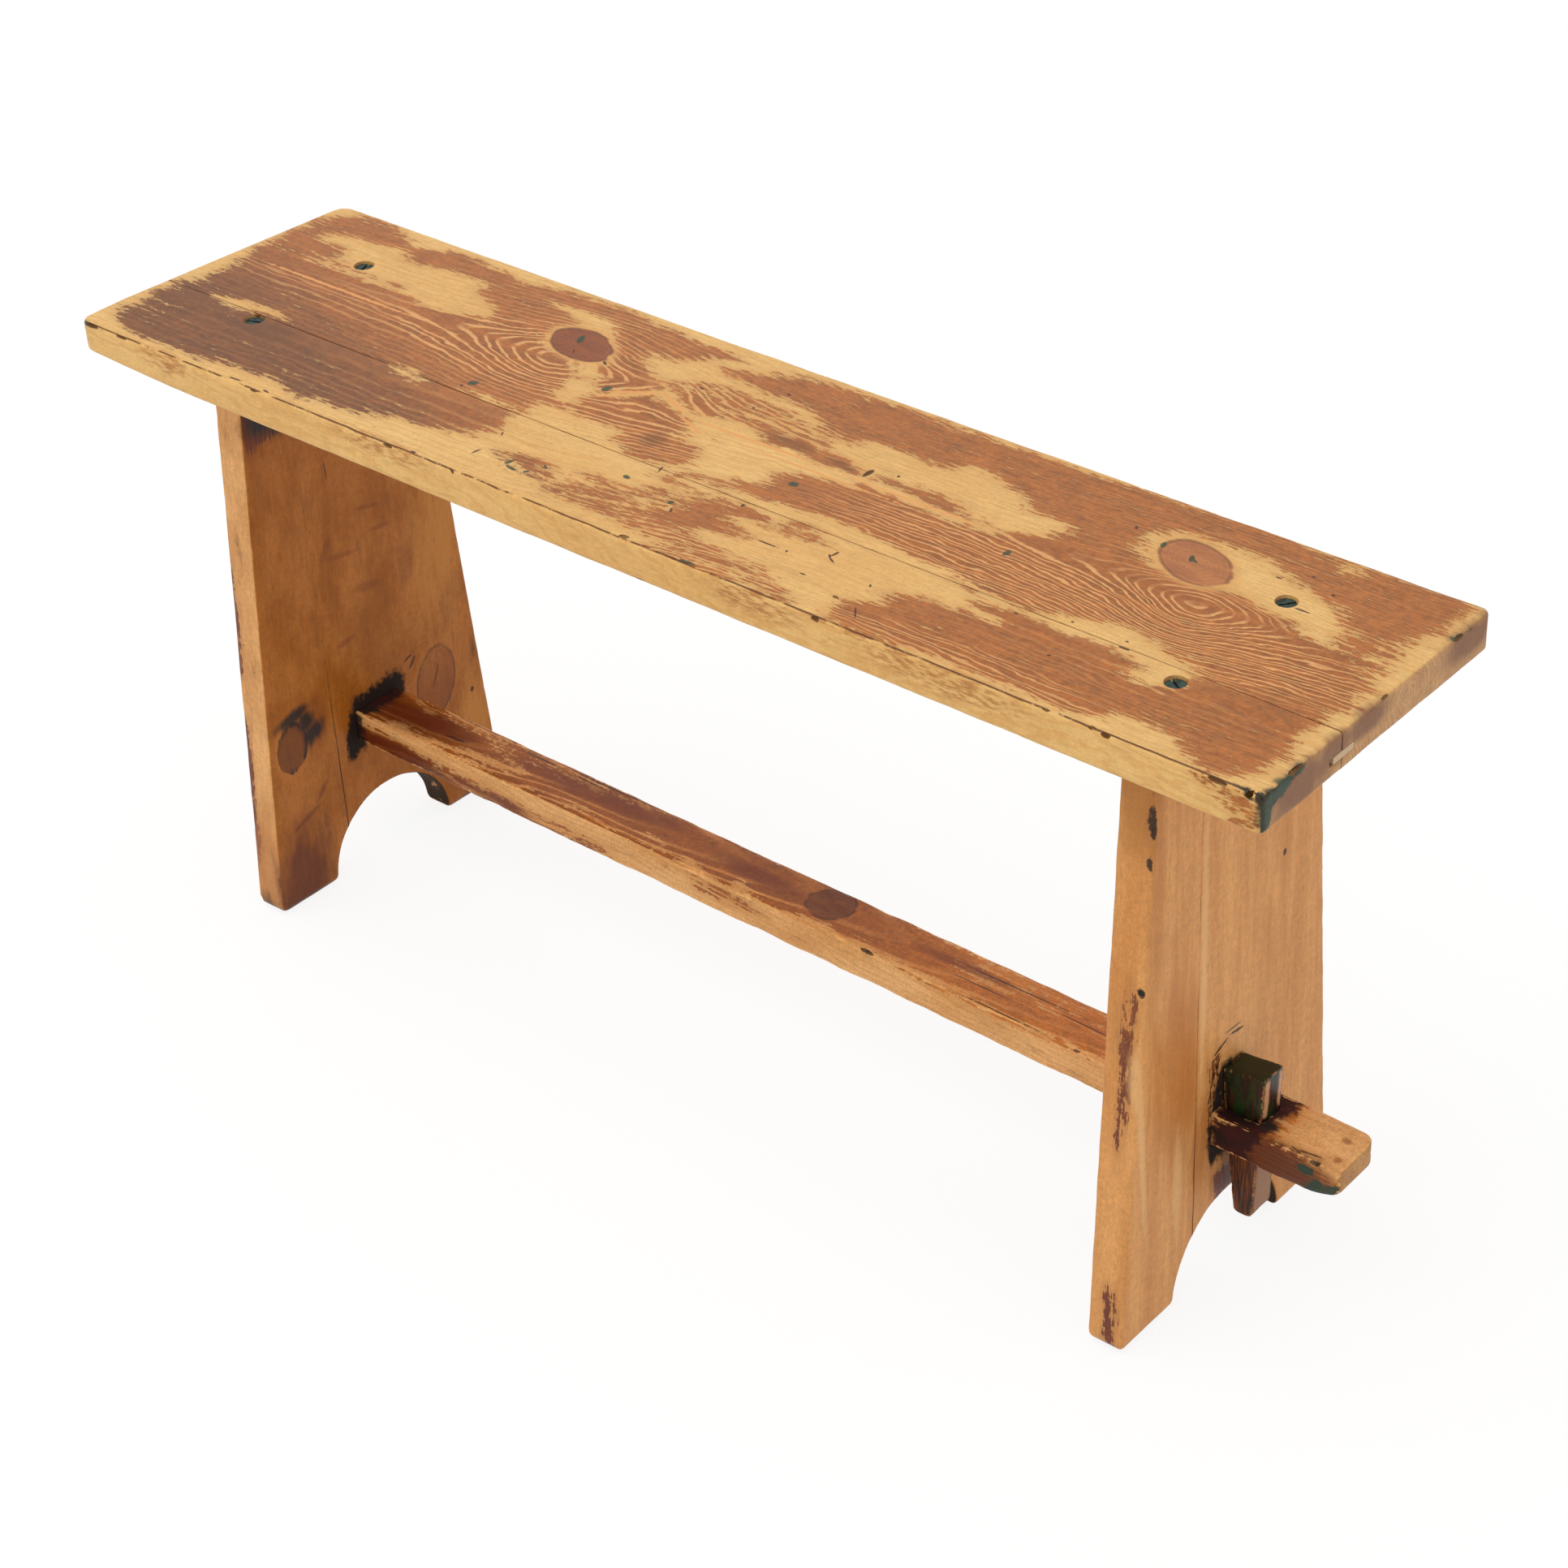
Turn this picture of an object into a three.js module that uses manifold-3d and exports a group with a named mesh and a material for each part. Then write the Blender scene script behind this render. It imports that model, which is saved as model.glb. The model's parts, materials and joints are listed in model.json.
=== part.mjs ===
// A knock-down pine bench: a seat and two arched legs, each glued up from a narrow and a wide
// board over a loose tongue, and a flat stretcher that runs through both legs. Outside each leg
// a driven wedge in the stretcher's tenon holds the leg, and sunk screws hold the seat.
// Millimetres. X runs along the seat, Y from front to rear, Z up from the floor.

import * as THREE from 'three';
import { mergeVertices } from 'three/addons/utils/BufferGeometryUtils.js';
import Module from 'manifold-3d';

// Timber
const stock = 27; // thickness of every board
const fitGap = 0.3; // play between pieces that touch
const curveSteps = { seat: 4, leg: 12, stretcher: 3, wedge: 1 }; // flats along each curve of an outline
const easeSteps = 2; // flats across an eased arris

// Seat
const seatLength = 1000;
const seatWidth = 244;
const seatHeight = 475;
const seatSeam = -41;
const seatEase = 3; // rounding of the arrises
const seatCorners = { leftFront: 10, leftRear: 12, rightRear: 6, rightFront: 4 };

// Loose tongues of the edge joints
const tongueWidth = 21;
const tongueThickness = 4.5;
const grooveDepth = 12.5; // into each board, so the tongue has some play across
const seatTongueDrop = 2; // below the middle of the seat's thickness

// Legs
const legCentre = 393.5; // from the middle of the bench to the middle of a leg's thickness
const legTopWidth = 172;
const legFootWidth = 239;
const legEase = 1.5;
const archRadius = 60;
const footRound = 5;
const legSeams = { left: -44, right: -40 };
const legHeight = seatHeight - stock - fitGap;
const legOuterFace = legCentre + stock / 2;

// Stretcher, one bar of even section with a mortise near each end
const stretcherWidth = 45;
const stretcherTop = 136.5;
const stretcherSetback = 1; // its centre line lies behind the seat's
const stretcherEase = 2.5;
const tenonReach = 95; // from the leg's outer face to the tip
const tenonCorners = { front: 4, rear: 9 };
const mortiseInset = 6; // how far the mortise starts inside the leg, so that the wedge can draw

// Wedges, measured from the leg's outer face and the tenon's upper and lower faces
const wedgeThickness = 22;
const wedgeRise = 31;
const wedgeDrop = 55.5;
const wedgeHeadWidth = 32;
const wedgeTipWidth = 14.7;
const wedgeHeadSlope = 4; // outer end of the head above its inner end
const wedgeLand = 17.5; // length at the head that bears flat on the leg
const wedgeLean = 10.5; // how far the tip stands off from the leg
const wedgeEase = 1;

// Seat screws
const screwLength = 80;
const screwShankRadius = 3.5;
const screwHeadRadius = 6.75;
const screwHeadRim = 0.6;
const screwPointLength = 10;
const screwPointRadius = 0.6;
const screwSink = 2; // head below the seat's face
const screwSlot = { width: 1.8, depth: 1.5 };
const boreRadius = 7.25; // sunk bore above the head
const screwSides = 20;
const screws = [
  { name: 'seat_screw_left_front', x: -398, y: -48.5, turn: 0.35 },
  { name: 'seat_screw_left_rear', x: -398, y: 58, turn: 1.9 },
  { name: 'seat_screw_right_rear', x: 397, y: 58, turn: 0.9 },
  { name: 'seat_screw_right_front', x: 395, y: -54, turn: 2.6 },
];

const colours = {
  seat: 0xd2a35c,
  leg: 0xb9793f,
  stretcher: 0xa9702f,
  wedge: 0x26322a,
  tongue: 0xd9bd94,
  screw: 0x2f5450,
};

const wasm = await Module();
wasm.setup();

function toSolid(geometry) {
  const shared = geometry.clone();
  shared.deleteAttribute('normal');
  shared.deleteAttribute('uv');
  const merged = mergeVertices(shared, 1e-4);
  return new wasm.Manifold(new wasm.Mesh({
    numProp: 3,
    vertProperties: new Float32Array(merged.attributes.position.array),
    triVerts: new Uint32Array(merged.index.array),
  }));
}

function toMesh(name, solid, colour, roughness = 0.7, metalness = 0) {
  const { vertProperties, triVerts } = solid.getMesh();
  const geometry = new THREE.BufferGeometry();
  geometry.setAttribute('position', new THREE.BufferAttribute(vertProperties, 3));
  geometry.setIndex(new THREE.BufferAttribute(triVerts, 1));
  geometry.computeVertexNormals();
  const material = new THREE.MeshStandardMaterial({ color: colour, roughness, metalness, flatShading: true });
  const mesh = new THREE.Mesh(geometry, material);
  mesh.name = name;
  return mesh;
}

// A box given by its low and high corners.
function block(low, high) {
  const [dx, dy, dz] = high.map((value, axis) => value - low[axis]);
  const box = new THREE.BoxGeometry(dx, dy, dz);
  return toSolid(box.translate(low[0] + dx / 2, low[1] + dy / 2, low[2] + dz / 2));
}

// A board cut to an outline, centred on its thickness, with all its arrises eased.
function plank(outline, thickness, ease, curveSegments) {
  const geometry = new THREE.ExtrudeGeometry(outline, {
    depth: thickness - 2 * ease,
    bevelThickness: ease,
    bevelSize: ease,
    bevelOffset: -ease,
    bevelSegments: easeSteps,
    curveSegments,
  });
  return geometry.translate(0, 0, ease - thickness / 2);
}

// Turns an outline's x, y and thickness into Y, Z and X, for a leg.
const standAcross = (geometry) => geometry.rotateX(Math.PI / 2).rotateZ(Math.PI / 2);

// Turns an outline's x and y into X and Z, for a wedge or its mortise.
const standAlong = (geometry) => geometry.rotateX(Math.PI / 2);

// A rectangle about the origin with its own radius at each corner.
function roundedRectangle(length, width, { leftFront, leftRear, rightRear, rightFront }) {
  const x = length / 2;
  const y = width / 2;
  const outline = new THREE.Shape();
  outline.absarc(-x + leftFront, -y + leftFront, leftFront, Math.PI, 1.5 * Math.PI, false);
  outline.absarc(x - rightFront, -y + rightFront, rightFront, 1.5 * Math.PI, 2 * Math.PI, false);
  outline.absarc(x - rightRear, y - rightRear, rightRear, 0, 0.5 * Math.PI, false);
  outline.absarc(-x + leftRear, y - leftRear, leftRear, 0.5 * Math.PI, Math.PI, false);
  return outline;
}

function polygon(points) {
  return new THREE.Shape(points.map(([x, y]) => new THREE.Vector2(x, y)));
}

// The leg's front view: a trapezoid on two feet, with a half-round arch between them.
function legOutline() {
  const foot = legFootWidth / 2;
  const top = legTopWidth / 2;
  const splay = Math.atan2(foot - top, legHeight);
  const sideY = foot - footRound * Math.sin(splay);
  const sideZ = footRound * Math.cos(splay);
  const archStart = Math.asin(footRound / archRadius);
  const archY = archRadius * Math.cos(archStart);
  const outline = new THREE.Shape();
  outline.moveTo(archRadius + footRound, 0);
  outline.lineTo(foot - footRound, 0);
  outline.quadraticCurveTo(foot, 0, sideY, sideZ);
  outline.lineTo(top, legHeight);
  outline.lineTo(-top, legHeight);
  outline.lineTo(-sideY, sideZ);
  outline.quadraticCurveTo(-foot, 0, footRound - foot, 0);
  outline.lineTo(-archRadius - footRound, 0);
  outline.quadraticCurveTo(-archRadius, 0, -archY, footRound);
  outline.absarc(0, 0, archRadius, Math.PI - archStart, archStart, true);
  outline.quadraticCurveTo(archRadius, 0, archRadius + footRound, 0);
  return outline;
}

// Profile of a countersunk wood screw, from its point up to its head, grown by the play
// of its hole. Lengths are measured down from the top of the head.
function screwProfile(play, extraTop) {
  const coneEnd = screwHeadRim + (screwHeadRadius - screwShankRadius);
  const pointStart = screwLength - screwPointLength;
  const profile = [
    [0, -screwLength - play],
    [screwPointRadius + play, -screwLength - play],
    [screwShankRadius + play, -pointStart],
    [screwShankRadius + play, -coneEnd - play],
    [screwHeadRadius + play, -screwHeadRim - play],
  ];
  if (extraTop > 0) {
    profile.push([boreRadius, -screwHeadRim - play], [boreRadius, extraTop], [0, extraTop]);
  } else {
    profile.push([screwHeadRadius, 0], [0, 0]);
  }
  return profile.map(([x, y]) => new THREE.Vector2(x, y));
}

function revolve(profile) {
  return new THREE.LatheGeometry(profile, screwSides).rotateX(Math.PI / 2);
}

// The hole that a screw needs, with the sunk bore above its head.
function screwHole(x, y, headTop) {
  return toSolid(revolve(screwProfile(fitGap, 2 * screwSink)).translate(x, y, headTop));
}

function screwMesh({ name, x, y, turn }, headTop) {
  const { width, depth } = screwSlot;
  const slot = block([-screwHeadRadius, -width / 2, -depth], [screwHeadRadius, width / 2, depth]);
  const mesh = toMesh(name, toSolid(revolve(screwProfile(0, 0))).subtract(slot), colours.screw, 0.5, 0.3);
  mesh.position.set(x, y, headTop);
  mesh.rotation.z = turn;
  return mesh;
}

// Splits a glued-up panel at its seam into front and rear boards with a groove for the tongue.
function splitPanel(panel, seam, reach, groove) {
  const front = block([-reach, -reach, -reach], [reach, seam - fitGap / 2, reach]);
  const rear = block([-reach, seam + fitGap / 2, -reach], [reach, reach, reach]);
  const cut = panel.subtract(groove);
  return [cut.intersect(front), cut.intersect(rear)];
}

function buildSeat() {
  const headTop = stock / 2 - screwSink;
  const outline = roundedRectangle(seatLength, seatWidth, seatCorners);
  const holes = screws.map(({ x, y }) => screwHole(x, y, headTop));
  const grooveHalf = tongueThickness / 2 + fitGap;
  const tongueHalf = tongueThickness / 2;
  const groove = block(
    [-seatLength, seatSeam - grooveDepth, -seatTongueDrop - grooveHalf],
    [seatLength, seatSeam + grooveDepth, -seatTongueDrop + grooveHalf],
  );
  // The tongue is pushed to the rear of its groove, as the seat's right end shows.
  const tongueRear = seatSeam + grooveDepth - fitGap;
  let tongue = block(
    [-seatLength / 2, tongueRear - tongueWidth, -seatTongueDrop - tongueHalf],
    [seatLength / 2, tongueRear, -seatTongueDrop + tongueHalf],
  );
  let panel = toSolid(plank(outline, stock, seatEase, curveSteps.seat));
  for (const hole of holes) {
    panel = panel.subtract(hole);
    tongue = tongue.subtract(hole);
  }
  const [front, rear] = splitPanel(panel, seatSeam, seatLength, groove);

  const seat = new THREE.Group();
  seat.position.z = seatHeight - stock / 2;
  seat.add(toMesh('seat_front_board', front, colours.seat));
  seat.add(toMesh('seat_rear_board', rear, colours.seat));
  seat.add(toMesh('seat_tongue', tongue, colours.tongue));
  for (const screw of screws) seat.add(screwMesh(screw, headTop));
  return seat;
}

function buildLeg(side) {
  const centreX = side === 'left' ? -legCentre : legCentre;
  const seam = legSeams[side];
  const mortiseHalf = stretcherWidth / 2 + fitGap;
  const mortise = block(
    [-stock, stretcherSetback - mortiseHalf, stretcherTop - stock - fitGap],
    [stock, stretcherSetback + mortiseHalf, stretcherTop + fitGap],
  );
  const grooveHalf = tongueThickness / 2 + fitGap;
  const groove = block([-grooveHalf, seam - grooveDepth, -stock], [grooveHalf, seam + grooveDepth, seatHeight]);
  const tongueBlank = block(
    [-tongueThickness / 2, seam - tongueWidth / 2, -stock],
    [tongueThickness / 2, seam + tongueWidth / 2, seatHeight],
  );
  const blank = toSolid(standAcross(plank(legOutline(), stock, legEase, curveSteps.leg)));
  let tongue = blank.intersect(tongueBlank);
  let panel = blank.subtract(mortise);
  for (const screw of screws.filter(({ name }) => name.includes(side))) {
    const hole = screwHole(screw.x - centreX, screw.y, seatHeight - screwSink);
    panel = panel.subtract(hole);
    tongue = tongue.subtract(hole);
  }
  const [front, rear] = splitPanel(panel, seam, seatHeight, groove);

  const leg = new THREE.Group();
  leg.position.x = centreX;
  leg.add(toMesh(`${side}_leg_front_board`, front, colours.leg));
  leg.add(toMesh(`${side}_leg_rear_board`, rear, colours.leg));
  leg.add(toMesh(`${side}_leg_tongue`, tongue, colours.tongue));
  return leg;
}

// Heights of a wedge's ends, and where the inner edge of its head stands.
const wedgeFoot = stretcherTop - stock - wedgeDrop;
const wedgeInnerTop = stretcherTop + wedgeRise;
const wedgeOuterTop = wedgeInnerTop + wedgeHeadSlope;
const wedgeInnerX = legOuterFace + fitGap;

// Outer edge of a wedge: its distance from the middle of the bench at a height.
function wedgeOuterX(z) {
  const tipX = wedgeInnerX + wedgeLean + wedgeTipWidth;
  const headX = wedgeInnerX + wedgeHeadWidth;
  return tipX + (headX - tipX) * (z - wedgeFoot) / (wedgeOuterTop - wedgeFoot);
}

// The wedge tapers on both edges. Its head bears on the leg, its outer edge on the mortise.
function wedgeGeometry() {
  const outline = polygon([
    [wedgeInnerX, wedgeInnerTop],
    [wedgeInnerX, wedgeInnerTop - wedgeLand],
    [wedgeInnerX + wedgeLean, wedgeFoot],
    [wedgeOuterX(wedgeFoot), wedgeFoot],
    [wedgeOuterX(wedgeOuterTop), wedgeOuterTop],
  ]);
  return standAlong(plank(outline, wedgeThickness, wedgeEase, curveSteps.wedge));
}

// The mortise's outer end slopes with the wedge, and its inner end lies inside the leg.
function wedgeMortise() {
  const below = stretcherTop - stock - stock;
  const above = stretcherTop + stock;
  const outline = polygon([
    [legOuterFace - mortiseInset, above],
    [legOuterFace - mortiseInset, below],
    [wedgeOuterX(below) + fitGap, below],
    [wedgeOuterX(above) + fitGap, above],
  ]);
  const width = wedgeThickness + 2 * fitGap;
  const geometry = new THREE.ExtrudeGeometry(outline, { depth: width, bevelEnabled: false });
  return standAlong(geometry.translate(0, 0, -width / 2));
}

function buildStretcher() {
  const { front, rear } = tenonCorners;
  const outline = roundedRectangle(2 * (legOuterFace + tenonReach), stretcherWidth, {
    leftFront: front, leftRear: rear, rightRear: rear, rightFront: front,
  });
  const bar = plank(outline, stock, stretcherEase, curveSteps.stretcher);
  const solid = toSolid(bar.translate(0, stretcherSetback, stretcherTop - stock / 2))
    .subtract(toSolid(wedgeMortise()))
    .subtract(toSolid(wedgeMortise().rotateZ(Math.PI)));
  return toMesh('stretcher', solid, colours.stretcher);
}

function buildWedge(side) {
  const holder = new THREE.Group();
  holder.rotation.z = side === 'left' ? Math.PI : 0;
  holder.add(toMesh(`${side}_wedge`, toSolid(wedgeGeometry()), colours.wedge, 0.5));
  return holder;
}

const bench = new THREE.Group();
bench.add(buildSeat());
for (const side of ['left', 'right']) bench.add(buildLeg(side), buildWedge(side));
bench.add(buildStretcher());

export default bench;
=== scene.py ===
import json
import math

import bmesh
import bpy
import numpy as np
from mathutils import Euler, Matrix, Quaternion, Vector, noise
from mathutils.kdtree import KDTree

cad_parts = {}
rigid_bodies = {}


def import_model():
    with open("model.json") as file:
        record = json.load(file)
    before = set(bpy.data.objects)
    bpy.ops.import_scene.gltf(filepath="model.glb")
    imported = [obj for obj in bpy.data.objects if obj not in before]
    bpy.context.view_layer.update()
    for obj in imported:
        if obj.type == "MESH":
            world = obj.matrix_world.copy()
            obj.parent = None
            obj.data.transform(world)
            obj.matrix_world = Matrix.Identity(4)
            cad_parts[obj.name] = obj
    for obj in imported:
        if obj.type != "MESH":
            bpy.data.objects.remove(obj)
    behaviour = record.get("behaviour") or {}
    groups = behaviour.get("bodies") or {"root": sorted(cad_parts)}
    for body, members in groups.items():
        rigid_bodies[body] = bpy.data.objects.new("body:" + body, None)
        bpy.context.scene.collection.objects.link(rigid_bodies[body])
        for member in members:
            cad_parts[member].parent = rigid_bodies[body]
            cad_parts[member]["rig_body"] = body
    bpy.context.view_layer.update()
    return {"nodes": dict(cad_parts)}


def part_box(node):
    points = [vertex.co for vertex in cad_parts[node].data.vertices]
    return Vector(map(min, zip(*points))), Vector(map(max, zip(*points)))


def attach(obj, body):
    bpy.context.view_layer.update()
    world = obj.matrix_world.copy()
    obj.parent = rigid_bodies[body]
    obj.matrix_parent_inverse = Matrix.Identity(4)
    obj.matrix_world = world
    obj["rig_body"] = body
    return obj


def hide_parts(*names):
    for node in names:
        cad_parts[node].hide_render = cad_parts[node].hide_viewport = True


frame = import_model()
mm = 0.001  # shapes and patterns below are worked out in millimetres
play = 0.3  # gap round a piece that sits tight in a hole
over = 9  # how far a cutting block runs past what it cuts
mixed = (0.35, 0.65)  # the levels of a noise between which one tone turns into another


def tint(red, green, blue):
    # a colour as a picture editor shows it, made linear for Blender
    def linear(level):
        level /= 255
        return level / 12.92 if level <= 0.04045 else ((level + 0.055) / 1.055) ** 2.4
    return linear(red), linear(green), linear(blue), 1.0


# Camera, lights and floor

photoView = {
    "place": (1.3190, -1.4073, 1.5261),
    "azimuth": 40.646,
    "elevation": 33.367,
    "roll": -2.371,
    "lens": 77.3,
    "shift": (-0.051, -0.037),
}


def makeCamera():
    around, above = math.radians(photoView["azimuth"]), math.radians(photoView["elevation"])
    back = Vector((math.sin(around) * math.cos(above), -math.cos(around) * math.cos(above),
                   math.sin(above)))
    camera = bpy.data.objects.new("camera", bpy.data.cameras.new("camera"))
    camera.location = photoView["place"]
    camera.rotation_mode = "QUATERNION"
    roll = Quaternion((0, 0, 1), math.radians(photoView["roll"]))
    camera.rotation_quaternion = (-back).to_track_quat("-Z", "Y") @ roll
    camera.data.lens = photoView["lens"]
    camera.data.shift_x, camera.data.shift_y = photoView["shift"]
    bpy.context.scene.collection.objects.link(camera)
    bpy.context.scene.camera = camera


studio = {
    "sheen": 0.035,  # white that every satin face adds to its own colour
    "sky": 0.78,  # strength of the even light from all round
    "key": {"place": (-0.5, -1.1, 3.6), "size": 3.0, "power": 34},
    "floorSize": 12,
    "floorColour": tint(224, 223, 221),
    "floorGlow": 0.78,  # share of plain white in the floor as the camera sees it
    "floorWhite": 1.1,
}


# What a face must be painted to show a colour under its share of the light
def shown(colour, light):
    return tuple(max((level - studio["sheen"]) / light, 0.002) for level in colour[:3]) + (1.0,)


def makeLights():
    key = studio["key"]
    lamp = bpy.data.lights.new("keyLight", "AREA")
    lamp.shape, lamp.size, lamp.energy = "DISK", key["size"], key["power"]
    holder = bpy.data.objects.new("keyLight", lamp)
    holder.location = key["place"]
    holder.rotation_euler = (-Vector(key["place"])).to_track_quat("-Z", "Y").to_euler()
    bpy.context.scene.collection.objects.link(holder)


# Materials

class Value:
    # a node's output; each operator on it adds a Math node
    def __init__(self, shader, socket):
        self.shader, self.socket = shader, socket

    def __add__(self, other):
        return self.shader.maths("ADD", self, other)

    def __sub__(self, other):
        return self.shader.maths("SUBTRACT", self, other)

    def __rsub__(self, other):
        return self.shader.maths("SUBTRACT", other, self)

    def __mul__(self, other):
        return self.shader.maths("MULTIPLY", self, other)

    def __truediv__(self, other):
        return self.shader.maths("DIVIDE", self, other)

    def __rtruediv__(self, other):
        return self.shader.maths("DIVIDE", other, self)

    def __abs__(self):
        return self.shader.maths("ABSOLUTE", self)

    __radd__ = __add__
    __rmul__ = __mul__


class Shader:
    def __init__(self, name, target=None):
        self.owner = target or bpy.data.materials.new(name)
        self.owner.use_nodes = True
        self.tree = self.owner.node_tree
        self.tree.nodes.clear()

    def node(self, kind, settings=None, sockets=None, output=0):
        made = self.tree.nodes.new(kind)
        for name, value in (settings or {}).items():
            setattr(made, name, value)
        for name, value in (sockets or {}).items():
            if isinstance(value, Value):
                self.tree.links.new(value.socket, made.inputs[name])
            else:
                made.inputs[name].default_value = value
        return Value(self, made.outputs[output]) if made.outputs else made

    def maths(self, operation, *values):
        return self.node("ShaderNodeMath", {"operation": operation}, dict(enumerate(values)))

    def most(self, *values):
        best = values[0]
        for value in values[1:]:
            best = self.maths("MAXIMUM", best, value)
        return best

    def least(self, value, other):
        return self.maths("MINIMUM", value, other)

    # 0 below low, 1 above high and smooth between
    def step(self, value, low, high):
        sockets = {"Value": value, "From Min": low, "From Max": high}
        return self.node("ShaderNodeMapRange", {"interpolation_type": "SMOOTHSTEP"}, sockets)

    def blend(self, mask, below, above):
        return self.node("ShaderNodeMix", {"data_type": "RGBA"}, {0: mask, 6: below, 7: above}, 2)

    def dim(self, colour, share):
        return self.node("ShaderNodeVectorMath", {"operation": "SCALE"}, {0: colour, "Scale": share})

    def parts(self, vector):
        return [self.node("ShaderNodeSeparateXYZ", None, {0: vector}, axis) for axis in range(3)]

    # where a point of the piece lies, in millimetres, whole and by axis
    def millimetres(self):
        metres = self.node("ShaderNodeTexCoord", None, None, "Object")
        place = self.dim(metres, 1 / mm)
        return place, self.parts(place)

    # which way the surface looks, from -1 to 1 by axis
    def facing(self):
        return self.parts(self.node("ShaderNodeTexCoord", None, None, "Normal"))

    # a vector in a frame of its own, with its origin at centre, turned, and size long each way
    def local(self, vector, size, centre=(0, 0, 0), turn=(0, 0, 0)):
        sockets = {"Vector": vector, "Location": centre, "Rotation": turn, "Scale": size}
        return self.node("ShaderNodeMapping", {"vector_type": "TEXTURE"}, sockets)

    def noise(self, vector, size, detail=2.0, roughness=0.5, shift=0.0):
        sockets = {"Vector": self.local(vector, size, (shift, shift, shift)), "Scale": 1.0,
                   "Detail": detail, "Roughness": roughness}
        return self.node("ShaderNodeTexNoise", None, sockets)

    # 1 in the middle of an oval body, falling to 0 on its skin
    def oval(self, vector, centre, half, turn=0, axis=2, falloff="SPHERICAL"):
        spin = [math.radians(turn) * (number == axis) for number in range(3)]
        inside = self.local(vector, half, centre, spin)
        return self.node("ShaderNodeTexGradient", {"gradient_type": falloff}, {0: inside}, "Fac")

    # 1 at the top of a smooth hill, a half at its half sizes
    def hill(self, vector, centre, half):
        inside = self.local(vector, half, centre)
        sockets = {0: inside, 1: inside}
        reach = self.node("ShaderNodeVectorMath", {"operation": "DOT_PRODUCT"}, sockets, "Value")
        return 1 / (reach + 1)

    # the highest of many ovals, each (centre, half sizes, turn); axis is what they turn about
    def ovals(self, vector, spots, axis):
        level = 0
        for centre, half, turn in spots:
            level = self.most(level, self.oval(vector, centre, half, turn, axis))
        return level

    def attribute(self, name):
        return self.node("ShaderNodeAttribute", {"attribute_name": name}, None, "Fac")

    def surface(self, colour, roughness, height=None, depth=1.0, **plain):
        sockets = {"Base Color": colour, "Roughness": roughness}
        sockets.update({name.replace("_", " "): value for name, value in plain.items()})
        if height is not None:
            bump = {"Height": height, "Distance": depth * mm, "Strength": 1.0}
            sockets["Normal"] = self.node("ShaderNodeBump", None, bump)
        body = self.node("ShaderNodeBsdfPrincipled", None, sockets)
        self.node("ShaderNodeOutputMaterial", None, {"Surface": body})
        return self.owner


# What all the pine has in common
pineWood = {
    "wander": 1.6,  # rings by which their spacing is uneven
    "wanderScale": 0.37,
    "line": (0.54, 0.72),  # where in a ring its dark line sets in
    "lineEnd": (1.0, 0.88),  # and where it fades again
    "steep": (0.1, 0.5),  # lines are weak below the first slant of the rings, and full above the second
    "flatLine": 0.2,  # what is left of a line where the rings lie flat
    "patches": (0.32, 0.68),  # as mixed, for the large clouds of colour
    "knotRings": 13,
    "knotSkin": 0.5,  # level of the oval at which a knot starts
}


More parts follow.
